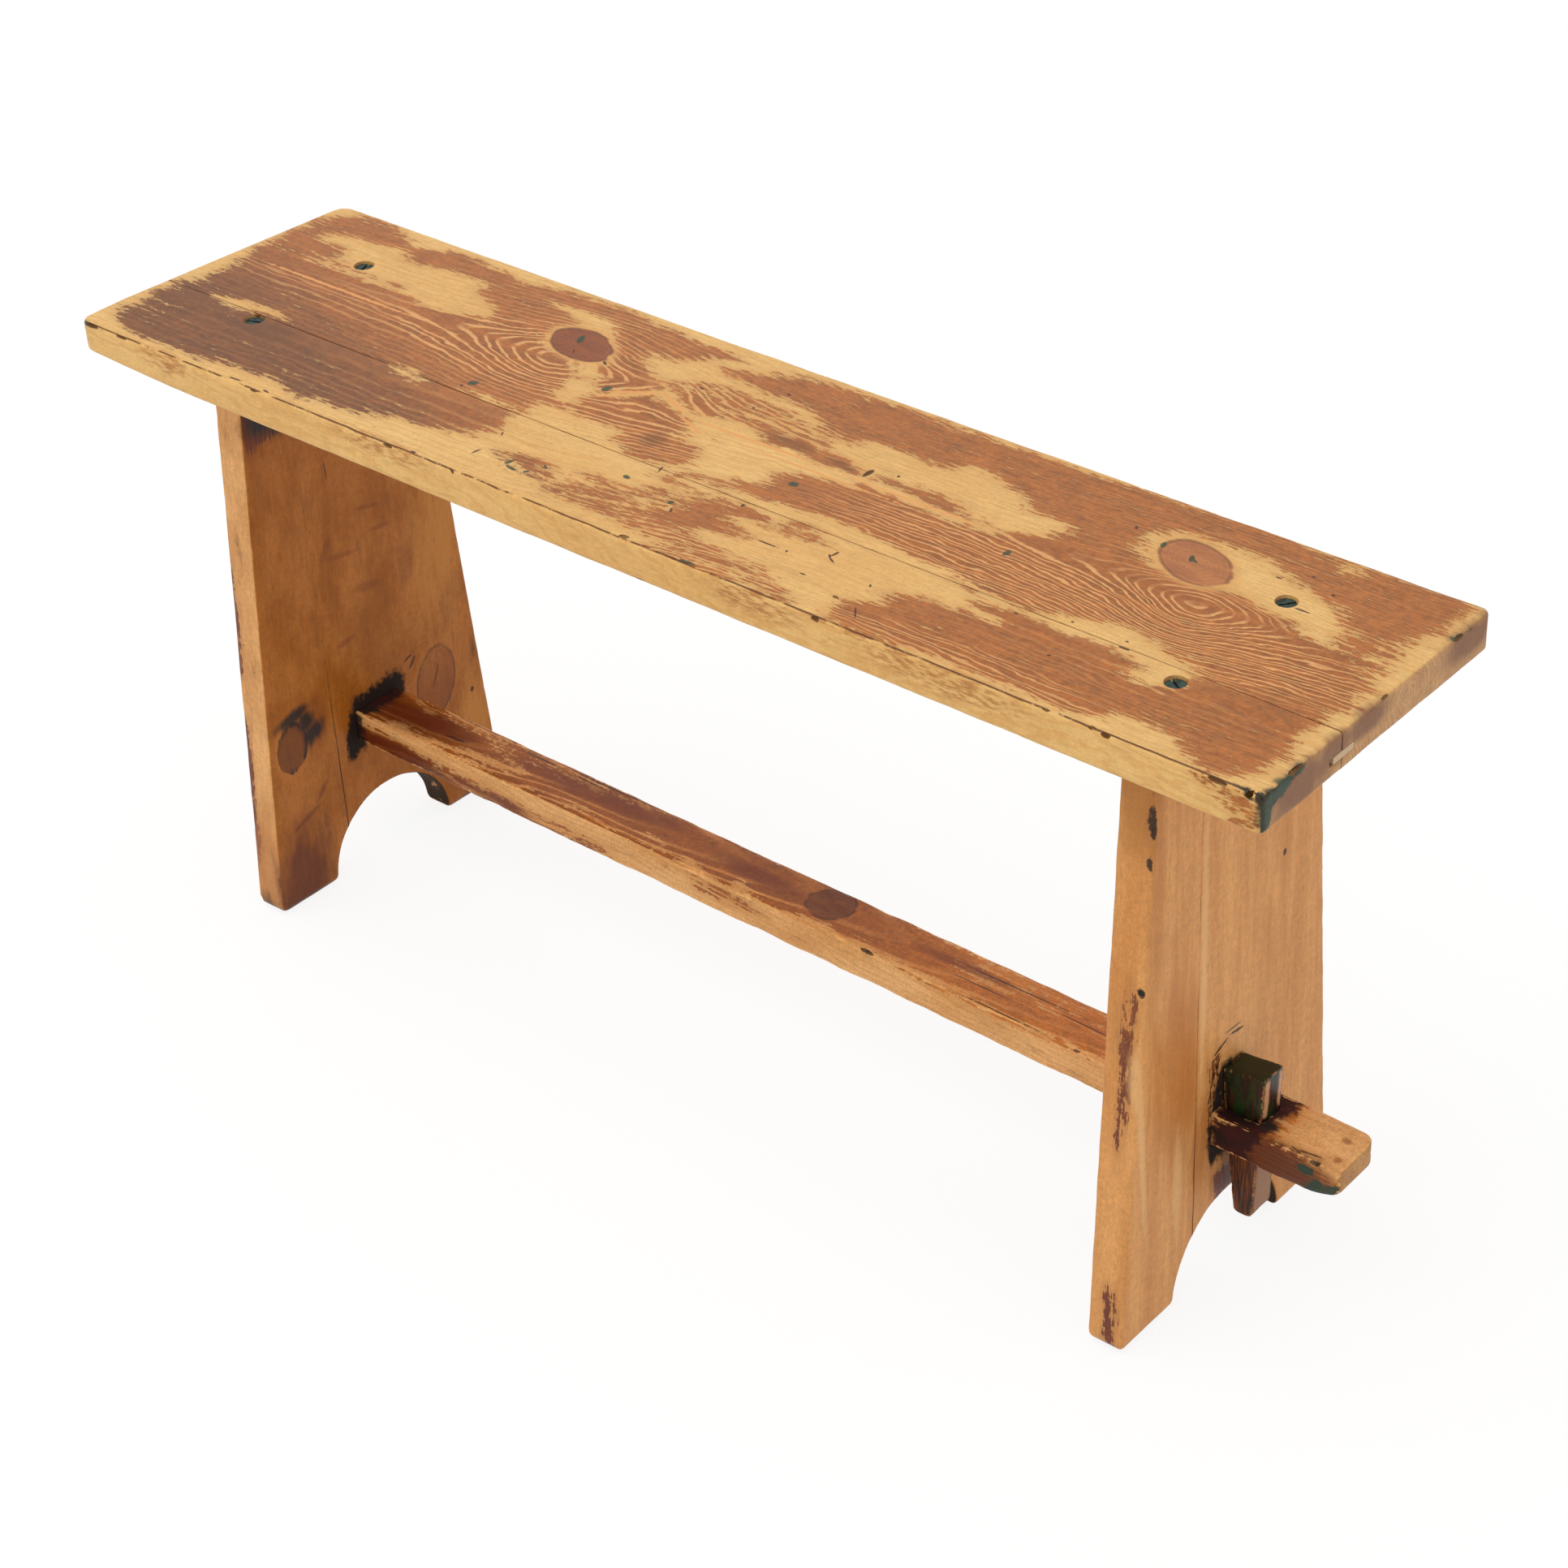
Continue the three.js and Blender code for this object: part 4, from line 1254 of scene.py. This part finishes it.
leftLegLook = {
    **legLook,
    "cloud": (60, 30, 30),
    "bareLineShare": 0.07,
    # darker tones for the inner face: partly its stain, mostly painted shade from the seat above
    "inner": (tint(170, 112, 66), tint(148, 94, 52)),
    "arch": archSoot,
    "piths": [(-10, -440, 0.06, -0.02, 4.6), (-150, -470, 0.03, 0.04, 4.2)],
    "seam": -44,
    "knots": {
        "ringed": {"centre": (innerLeft, -87, 138), "half": (40, 15, 21), "turn": -8, "axis": 0,
                   "halo": 0.7, "colour": tint(108, 72, 54), "heart": tint(84, 56, 46),
                   "rim": 0.95, "rimDepth": 0.66, "cover": 0.8},
        "red": {"centre": (innerLeft, 62, 122), "half": (40, 20, 30), "turn": -10, "axis": 0,
                "halo": 0.4, "colour": tint(128, 76, 58), "heart": tint(102, 60, 50),
                "rim": 0.5, "cover": 0.5},
    },
    "shades": {
        "smudge": (tint(116, 70, 42), 0.42, onFace(0, innerLeft, 12, [
            (-30, 282, 5, 16, -30), (-14, 272, 20, 4, -10), (14, 300, 18, 3, -14), (26, 278, 16, 3, -6),
            (4, 236, 22, 6, -10), (-22, 200, 14, 4, 6), (-77, 408, 22, 20, 0), (48, 236, 12, 30, -20),
            (78, 180, 14, 40, -24), (-92, 66, 22, 26, -40), (-64, 150, 26, 34, 0), (-90, 30, 30, 60, 0),
        ]) + [((innerLeft, -100, 20), (30, 30, 36), 0), ((innerLeft, 95, 20), (30, 30, 40), 0)]),
        # painted light: the rear part of the inner face and its rear foot, lighter than the painted
        # shade elsewhere
        "glow": (tint(192, 134, 78), 0.7, [
            ((innerLeft, 92, 290), (12, 44, 200), -12), ((innerLeft, 100, 60), (12, 26, 70), 0),
        ]),
        "low": (tint(174, 116, 74), 0.6, [((-393, -119, 40), (30, 14, 110), 0)]),
        "dirty": (tint(58, 44, 36), 0.75, [
            ((-396, -114, 0), (24, 16, 24), 0), ((innerLeft - 3, -92, 0), (10, 40, 8), 0),
            ((innerLeft - 3, 92, 0), (8, 34, 9), 0),
        ]),
        "smoke": (tint(40, 35, 34), 0.92, onFace(0, innerLeft, 12, [
            (-83, 163, 30, 9, 10), (-70, 155, 12, 14, 30), (-64, 141, 17, 12, 34),
            (-70, 412, 24, 26, 0), (-58, 400, 12, 14, 0),
        ])),
        "foot": (tint(84, 46, 38), 0.62, [
            ((innerLeft, -92, 16), (12, 44, 72), 0), ((innerLeft, -94, 40), (12, 20, 30), 0),
        ]),
        "curve": (tint(96, 62, 42), 0.5, [
            ((innerLeft, -84, 72), (12, 26, 4), 20), ((innerLeft, -64, 88), (12, 16, 4), 50),
        ]),
    },
    "marks": {
        "dark": (tint(60, 40, 30), 0.85, onFace(0, innerLeft, 6, [
            (-19, 345, 1, 12, 2), (98, 96, 3, 4, 0), (40, 150, 2, 9, -40), (36, 156, 7, 1.6, 20),
            (62, 126, 1, 16, -24),
        ])),
    },
}
rightLegLook = {
    **legLook,
    "bare": (tint(212, 156, 101), tint(197, 139, 88)),
    "bareLine": tint(182, 116, 62),
    "bareLineShare": 0.1,
    "arch": archSoot,
    "piths": [(40, 350, -0.05, 0.03, 4.6), (-120, 340, 0.02, 0.02, 4.0)],
    "seam": -40,
    "shades": {
        "smudge": (tint(172, 112, 66), 0.32, onFace(0, outerRight, 12, [
            (50, 330, 24, 90, 0), (40, 240, 10, 50, 4), (-84, 330, 10, 90, 0),
        ]) + [((outerRight, 90, 20), (30, 30, 30), 0)]),
        "band": (tint(164, 96, 44), 0.5, onFace(0, outerRight, 12, [
            (-62, 200, 36, 120, 0), (-47, 190, 12, 90, 0), (-34, 120, 14, 60, 0),
        ])),
        "paler": (tint(224, 178, 126), 0.6, onFace(0, outerRight, 12, [
            (-35, 270, 5, 170, 0), (-59, 96, 7, 70, 0), (-100, 180, 5, 160, 4),
        ])),
        "shadow": (tint(164, 112, 66), 0.6, [((393, -88, 420), (30, 14, 70), 0)]),
        "dirty": (tint(96, 66, 56), 0.7, [((393, -118, 0), (22, 12, 6), 0)]),
    },
    # painted shade: the front face of the right leg made darker
    "paintedShadeWashes": {
        "side": (tint(198, 136, 82), 0.6, [((393, -100, 240), (20, 18, 260), 0)]),
    },
    "marks": {
        "dark": (tint(52, 36, 28), 0.9, onFace(0, outerRight, 6, [
            (52, 299, 3, 4, 0), (-13, 186, 12, 1.9, 19), (5, 188, 12, 1.9, -9), (0, 193, 14, 1, -4),
            (-19, 180, 7, 1.3, 20), (-16, 174, 1.3, 9, -24), (-22, 164, 1.3, 12, -16),
            (-18, 170, 1, 12, 12), (-25, 152, 1.2, 9, -20),
        ]) + [
            ((outerRight - 1, -90, 408), (7, 3.4, 30), 2), ((outerRight - 1, -92, 376), (6, 2, 16), 4),
            ((outerRight - 2, -99, 280), (6, 4, 5), 0),
        ]),
    },
}


# A solid the shape of a leg's arch, flaring a little where it meets the floor
def archCutter(low, high):
    radius, flare = leg["arch"], leg["flare"]
    start = math.asin(flare / radius)
    corner, foot = Vector((-radius - flare, 0)), Vector((-radius, 0))
    curve = Vector((-radius * math.cos(start), flare))
    side = [(corner.x, -over)]
    for share in (0, 0.25, 0.5, 0.75):
        side.append(tuple(corner.lerp(foot, share).lerp(foot.lerp(curve, share), share)))
    turns = [math.pi - start - (math.pi / 2 - start) * step / 24 for step in range(24)]
    side += [(radius * math.cos(turn), radius * math.sin(turn)) for turn in turns]
    outline = side + [(0, radius)] + [(-y, z) for y, z in reversed(side)]
    bm = bmesh.new()
    face = bm.faces.new([bm.verts.new((low.x - over, y, z)) for y, z in outline])
    grown = bmesh.ops.extrude_face_region(bm, geom=[face])["geom"]
    moved = [item for item in grown if isinstance(item, bmesh.types.BMVert)]
    bmesh.ops.translate(bm, vec=(high.x - low.x + 2 * over, 0, 0), verts=moved)
    bmesh.ops.recalc_face_normals(bm, faces=bm.faces)
    return bm


# Edges that run along X at the floor
def legCorners(a, b):
    return lies(a, b, 2, 0) and abs(a.y - b.y) < 0.01


# Draws a foot in towards the middle of its thickness, the more the nearer to the floor
def wearSole(bm, middle):
    height, inset = leg["sole"]["height"], leg["sole"]["inset"]
    for share in (0.15, 0.4, 0.7):
        sliceAt(bm, (0, 0, height * share))
    for vert in bm.verts:
        share = max(0.0, 1 - vert.co.z / height) ** 2
        vert.co.x -= math.copysign(min(inset * share, abs(vert.co.x - middle)), vert.co.x - middle)


def makeLeg(side, material):
    front, rear = f"{side}_leg_front_board", f"{side}_leg_rear_board"
    low, high = boxOf(front, rear)
    body = block(low, high)
    for vert in body.verts:
        if vert.co.z > 1:
            vert.co.y *= leg["topShare"]
    ease(body, leg["footRound"], 5, legCorners)
    body = carve(body, [archCutter(low, high)])
    ease(body, leg["ease"], 3, onEnds(low, high, 0))
    barLow, barHigh = boxOf("stretcher")
    mortise = block((low.x - over, barLow.y - play, barLow.z - play),
                    (high.x + over, barHigh.y + play, barHigh.z + play))
    seam, gap, groove = leg["seams"][side], leg["seamGap"] / 2, leg["groove"]
    middle = (low.x + high.x) / 2
    beyond = Vector((over, 11 * over, over))
    # what each board leaves to the other
    spares = {
        front: ((low.x - over, seam - gap, -over), high + beyond),
        rear: (low - beyond, (high.x + over, seam + gap, high.z + over)),
    }
    for node, spare in spares.items():
        slot = block((middle - groove["thickness"] / 2, seam - groove["depth"], -over),
                     (middle + groove["thickness"] / 2, seam + groove["depth"], high.z + over))
        holes = [screwHole(*spot[:2]) for name, spot in screw["places"].items() if side in name]
        board = carve(body, [block(*spare), slot, mortise, *holes], [scoops(leg["chips"][side], 5)])
        tree = arrisPoints(board)
        crosscut(board, leg["gaps"])
        wearSole(board, middle)
        paint(board, "stain", leg["stain"][side], grain=2, broad=0)
        paint(board, "grime", leg["grime"][side], grain=2, broad=0)
        weather(board, tree, leg["wear"], seam)
        finishPiece(board, node, material)


# Wedges

wedge = {
    "innerTop": 167.5,
    "land": 17.5,  # length at the head that bears flat on the leg
    "lean": 10.5,  # how far the tip stands off from the leg
    "tipWidth": 14.7,
    "ease": 1.2,
    "gaps": (4, 4, 4),
    "wear": {"reach": 5, "depth": 0.7, "length": 9, "swell": 0.25, "swellLength": 22},
    "mortiseInset": 6,
    "tipRound": 4,
    "light": 0.62,
    # heights at which the paint, the pale patch on the outer face and the purple foot end
    "paintEnd": (116, 104),
    "paleFrom": (136, 140),
    "paleTo": (171, 167),
    "purpleFrom": (112, 102),
    "split": (4.4, 6.4),  # half width of the dark split in the pale patch
    "outerFrom": (424, 427),  # x at which the outer face starts
}


def wedgeBody():
    low, high = boxOf("right_wedge")
    body = block(low, high)
    for vert in body.verts:
        if vert.co.z > low.z + 1 and vert.co.x < low.x + 1:
            vert.co.z = wedge["innerTop"]
        if vert.co.z < low.z + 1 and vert.co.x > high.x - 1:
            vert.co.x = low.x + wedge["lean"] + wedge["tipWidth"]
    sliceAt(body, (0, 0, wedge["innerTop"] - wedge["land"]))
    for vert in body.verts:
        if vert.co.z < low.z + 1 and vert.co.x < low.x + 1:
            vert.co.x += wedge["lean"]
    return body


# The mortise's outer end slopes with the wedge, and its inner end lies inside the leg
def wedgeMortise():
    low, high = boxOf("right_wedge")
    barLow, barHigh = boxOf("stretcher")
    tip = low.x + wedge["lean"] + wedge["tipWidth"]
    body = block((low.x - play - wedge["mortiseInset"], low.y - play, barLow.z - over),
                 (high.x, high.y + play, barHigh.z + over))
    for vert in body.verts:
        if vert.co.x > high.x - 1:
            share = (vert.co.z - low.z) / (high.z - low.z)
            vert.co.x = tip + (high.x - tip) * share + play
    return body


def wedgePaint():
    shader = Shader("wedgePaint")
    place, (x, y, z) = shader.millimetres()
    facing = shader.facing()
    grain = shader.noise(place, (1, 1, 22), 3.0, 0.6, shift=2)
    patchy = shader.noise(place, (7, 7, 13), 4.0, 0.6, shift=9)
    crumbs = shader.noise(place, (2.4, 2.4, 2.4), 3.0, 0.6, shift=4)
    arris = shader.attribute("arris")

    def tone(*colour):
        return shown(tint(*colour), wedge["light"])

    green = shader.blend(shader.step(patchy, *mixed), tone(46, 46, 32), tone(54, 66, 50))
    green = shader.blend(shader.step(grain, 0.5, 0.62) * 0.6, green, tone(88, 56, 42))
    wood = shader.blend(shader.step(grain, 0.4, 0.66), tone(58, 42, 32), tone(118, 76, 52))
    low = shader.step(z + (patchy - 0.5) * 40 + (grain - 0.5) * 30, *wedge["paintEnd"])
    colour = shader.blend(low, green, wood)
    colour = shader.blend(shader.step(facing[2], 0.5, 0.9) * 0.7, colour, tone(32, 58, 40))
    outer = shader.step(abs(facing[0]), 0.75, 0.93) * shader.step(abs(x), *wedge["outerFrom"])
    outer = outer * shader.step(arris + (crumbs - 0.5) * 3, 0.5, 1.6)
    pale = shader.step(z + (patchy - 0.5) * 16, *wedge["paleFrom"]) * shader.step(z, *wedge["paleTo"])
    split = abs(y + (patchy - 0.5) * 4 + (grain - 0.5) * 5 - 0.6)
    pale = pale * shader.step(split, *wedge["split"])
    colour = shader.blend(outer * pale, colour, tone(172, 132, 101))
    purple = shader.step(z + (grain - 0.5) * 30, *wedge["purpleFrom"])
    colour = shader.blend(outer * purple * 0.85, colour, tone(142, 110, 88))
    rubbed = shader.step(arris + (crumbs - 0.5) * 4 + (patchy - 0.5) * 3, 0.8, -0.2)
    colour = shader.blend(rubbed * 0.7, colour, tone(160, 116, 80))
    height = patchy * 0.5 + grain * 0.5
    return shader.surface(colour, 0.42 + low * 0.15, height, 0.3, Specular_IOR_Level=0.4)


def makeWedges(material):
    for side, turn in (("right", 0), ("left", math.pi)):
        body = wedgeBody()
        low, high = boxOf("right_wedge")
        ease(body, wedge["tipRound"], 3, lambda a, b: lies(a, b, 2, low.z) and abs(a.x - b.x) < 0.01)
        ease(body, wedge["ease"], 2, lambda a, b: lies(a, b, 1, low.y) or lies(a, b, 1, high.y)
             or (abs(a.x - b.x) < 0.01 and a.z > wedge["innerTop"] - 1))
        tree = arrisPoints(body)
        crosscut(body, wedge["gaps"])
        weather(body, tree, wedge["wear"], 5 + turn)
        finishPiece(turnedAboutZ(body, turn), f"{side}_wedge", material)


# Stretcher

stretcher = {
    "corners": {"front": 4, "rear": 9},
    "ease": 2.2,
    "gaps": (5, 3, 4.5),
    "tip": {"length": 30, "rise": 8, "fall": 1.5},  # how the ends are worn thinner
    "wear": {"reach": 6, "depth": 0.8, "length": 24, "swell": 0.15, "swellLength": 60},
    "chips": [
        ((123, -20.8, 136.2), (6, 1.4, 1.4), -6),
        ((300, -21.2, 136.4), (5, 1, 1.2), 0),
        ((484, -21, 135.6), (3.4, 1.6, 1.8), 10),
    ],
    "stain": {
        "+z": {
            "on": {
                "left": [
                    (-392, 26), (-392, -24), (-364, -18), (-340, -8), (-318, -10), (-300, -14),
                    (-278, -6), (-250, -4), (-236, 0), (-236, 6), (-262, 10), (-300, 10), (-340, 12),
                    (-364, 26),
                ],
                "middle": [
                    (-250, 0), (-215, -12), (-190, -16), (-160, -10), (-128, -12), (-100, -18),
                    (-92, -6), (-70, -14), (-55, -18), (-48, -8), (-20, -16), (-8, -20), (0, -10),
                    (20, -18), (40, -20), (60, -14), (86, -12), (100, -20), (110, -12), (130, -18),
                    (166, -14), (200, -17), (330, -18), (382, -18), (382, -4), (250, -1), (180, 0),
                    (172, 20), (140, 22), (60, 25), (-60, 25), (-90, 22), (-120, 12), (-160, 8),
                    (-210, 6),
                ],
                "tenon": [
                    (407, 35), (407, -34), (447, -34), (450, -14), (447, -4), (452, 8), (450, 35),
                ],
            },
            "streaks": {
                "rearLeft": [(-366, 26), (-366, 4), (-220, 8), (-150, 8), (-95, 20), (-95, 26)],
                "rearRight": [(170, 26), (170, -2), (382, -6), (382, 26)],
                "front": [(-330, -12), (-300, -20), (-60, -21), (-60, -12), (-200, -12)],
            },
            "off": {
                "hook": [
                    (-262, 9), (-226, 3), (-216, -6), (-224, -14), (-233, -14), (-225, -5), (-236, 0),
                    (-262, 4),
                ],
            },
        },
        "-y": {
            "on": {
                "joint": [
                    (-392, 128), (-392, 106), (-340, 106), (-300, 110), (-290, 116), (-320, 126),
                    (-350, 129),
                ],
                "tenon": [
                    (407, 146), (470, 146), (474, 137), (484, 132), (492, 127), (505, 123), (505, 96),
                    (407, 96),
                ],
            },
            "streaks": {
                "lower": [
                    (-305, 124), (-240, 121), (-131, 119), (-110, 112), (-200, 108), (-305, 108),
                ],
                "flecks": [(-40, 132), (10, 131), (16, 124), (-30, 122)],
                "arris": [(150, 139), (372, 139), (372, 133), (150, 135)],
            },
        },
    },
    "grime": {
        "+z": {
            "on": {
                "joint": [(-392, 26), (-392, -24), (-372, -21), (-366, 0), (-368, 26)],
                "tenon": [
                    (406, 34), (406, -34), (447, -34), (449, -12), (446, 0), (451, 10), (448, 34),
                ],
            },
        },
        "-y": {
            "on": {
                "joint": [(-392, 139), (-392, 106), (-376, 106), (-372, 120), (-375, 134)],
                "tenon": [
                    (406, 146), (440, 146), (448, 137), (444, 128), (436, 120), (440, 110), (434, 96),
                    (406, 96),
                ],
            },
        },
    },
}
barTop, barFront = 136.5, -21.5
stretcherLook = {
    **legLook,
    "upright": False,
    "light": 0.68,
    "cloud": (90, 14, 30),
    "bare": (tint(210, 163, 112), tint(192, 142, 93)),
    "bareLine": tint(184, 122, 70),
    "bareLineShare": 0.3,
    "stain": (tint(138, 84, 54), tint(172, 108, 62)),
    "stainTurn": (60, 240),
    "stainWarm": tint(164, 102, 62),
    "stainLine": tint(196, 136, 84),
    "stainLineShare": 0.65,
    "stainCover": 0.96,
    "drift": 9,
    "fray": 12,
    "hair": 9,
    "lineFray": 3,
    "stainSoft": 0.4,
    "grit": 0.8,
    "piths": [(8, 96, 0.0, -0.045, 3.6)],
    "sway": 22,
    "ripple": 4,
    "waves": {"knot": ((69, 10, barTop), (70, 36, 60), 10)},
    "knots": {
        "top": {"centre": (69, 6, barTop), "half": (18.5, 17, 16), "turn": 0, "halo": 0.5,
                "colour": tint(116, 76, 54), "heart": tint(88, 58, 44), "rim": 0.5, "cover": 0.9},
    },
    "halo": tint(150, 92, 58),
    "end": (tint(150, 110, 72), tint(174, 130, 86)),
    "endCover": 0.85,
    "marks": {
        "dark": (tint(66, 40, 28), 0.8, onFace(2, barTop, 5, [
            (235, 8, 70, 1.1, 1), (210, -5, 40, 0.9, 0), (290, 3, 36, 1, -1), (123, -20, 7, 1.6, -6),
            (235, -19.6, 66, 0.9, 0), (-150, 20, 60, 1.4, 0), (478, -16, 15, 1.2, 10),
            (468, -18, 8, 1, -16), (-222, 17, 30, 1.6, 0), (-170, 16, 26, 1.2, -2),
            (-292, -2, 16, 2.4, 4),
        ])),
        "teal": (tint(44, 72, 64), 0.9, [
            ((488, barFront, 115), (17, 7, 12), 0), ((478, barFront, 127), (9, 6, 6), 0),
            ((498, barFront, 118), (9, 8, 9), 0),
        ]),
    },
    "shades": {
        "deep": (tint(72, 38, 24), 0.6, [
            ((-340, 0, barTop), (90, 26, 12), 0), ((-340, barFront, 116), (80, 8, 14), 0),
        ]),
        "brown": (tint(100, 58, 38), 0.6, onFace(2, barTop, 12, [
            (-330, 2, 60, 16, 0), (-150, 8, 110, 14, 2), (10, 2, 70, 12, -3), (190, 6, 60, 7, 0),
        ]) + [((-340, barFront, 118), (70, 8, 16), 0), ((-240, barFront, 116), (70, 8, 8), 0)]),
        "dark": (tint(66, 36, 26), 0.8, [((426, 0, barTop), (30, 50, 12), 0)]),
        "tenonFront": (tint(92, 62, 46), 0.94, [((456, barFront, 120), (70, 9, 44), 0)]),
        "spots": (tint(134, 84, 56), 0.7, [
            ((489, 8, barTop), (5, 4, 5), 0), ((494, -10, barTop), (4, 5, 5), 0),
        ]),
    },
    "grime": (tint(70, 51, 36), tint(44, 53, 40)),
    "edge": (tint(222, 170, 112), 0.8, 0.4),
    "relief": 0.25,
}


def makeStretcher(material):
    low, high = boxOf("stretcher")
    body = block(low, high)
    for name, y in (("front", low.y), ("rear", high.y)):
        radius = stretcher["corners"][name]
        ease(body, radius, 4, lambda a, b: lies(a, b, 1, y) and abs(a.x - b.x) < 0.01)
    ease(body, stretcher["ease"], 3, onEnds(low, high, 2))
    mortises = [wedgeMortise(), turnedAboutZ(wedgeMortise(), math.pi)]
    body = carve(body, mortises, [scoops(stretcher["chips"], 9)])
    tree = arrisPoints(body)
    crosscut(body, stretcher["gaps"])
    tip = stretcher["tip"]
    for vert in body.verts:
        share = max(0.0, (abs(vert.co.x) - high.x) / tip["length"] + 1) ** 2
        upper = (vert.co.z - low.z) / (high.z - low.z)
        vert.co.z += share * (tip["rise"] * (1 - upper) - tip["fall"] * upper)
    paint(body, "stain", stretcher["stain"], grain=0)
    paint(body, "grime", stretcher["grime"], grain=0)
    weather(body, tree, stretcher["wear"], 31)
    finishPiece(body, "stretcher", material)


# Screws and tongues

def screwPaint():
    shader = Shader("screwPaint")
    place = shader.millimetres()[0]
    lumps = shader.noise(place, (2.2, 2.2, 2.2), 3.0, 0.55)
    patchy = shader.noise(place, (4, 4, 4), 2.0, 0.5, shift=7)
    colour = shader.blend(shader.step(patchy, *mixed), tint(22, 34, 30), tint(44, 76, 68))
    # lighter teal on the tops of the paint's lumps: partly paint, partly a painted highlight
    colour = shader.blend(shader.step(lumps, 0.6, 0.68) * 0.6, colour, tint(92, 122, 108))
    return shader.surface(colour, 0.42, lumps, 1.2, Specular_IOR_Level=0.4)


def makeScrews(material):
    head, shank, rim, eased, tip = (screw[name] for name in ("head", "shank", "rim", "eased", "tip"))
    wide, deep = screw["slot"]["width"] / 2, screw["slot"]["depth"]
    foot = -screw["length"]
    profile = [(0, foot), (tip["radius"], foot), (shank, foot + tip["length"]), (shank, -coneHeight),
               (head, -rim), (head, -eased), (head - eased, 0), (head * 0.55, 0), (0, 0)]
    for node, (x, y, turn) in screw["places"].items():
        slot = block((-over, -wide, -deep), (over, wide, over))
        body = turnedAboutZ(carve(spun(profile, screw["sides"], (0, 0, 0)), [slot]), turn)
        bmesh.ops.translate(body, vec=(x, y, screw["top"]), verts=body.verts)
        finishPiece(body, node, material)


def tongueWood():
    shader = Shader("tongueWood")
    place = shader.millimetres()[0]
    fibre = shader.noise(place, (20, 0.7, 0.7), 3.0, 0.6)
    colour = shader.blend(shader.step(fibre, 0.3, 0.7), tint(206, 172, 132), tint(228, 200, 160))
    return shader.surface(colour, 0.6, fibre, 0.2, Specular_IOR_Level=0.3)


def dressTongues(material):
    for name in ("seat_tongue", "left_leg_tongue", "right_leg_tongue"):
        slots = frame["nodes"][name].data.materials
        slots.clear()
        slots.append(material)


print("camera and stage")
makeCamera()
makeLights()
makeStage(stageMaterials())
print("seat")
makeSeat(pine("seatPine", seatLook))
print("legs")
makeLeg("left", pine("leftLegPine", leftLegLook))
makeLeg("right", pine("rightLegPine", rightLegLook))
print("stretcher and wedges")
makeStretcher(pine("stretcherPine", stretcherLook))
makeWedges(wedgePaint())
print("screws and tongues")
makeScrews(screwPaint())
dressTongues(tongueWood())

bpy.context.scene.view_settings.view_transform = "Standard"
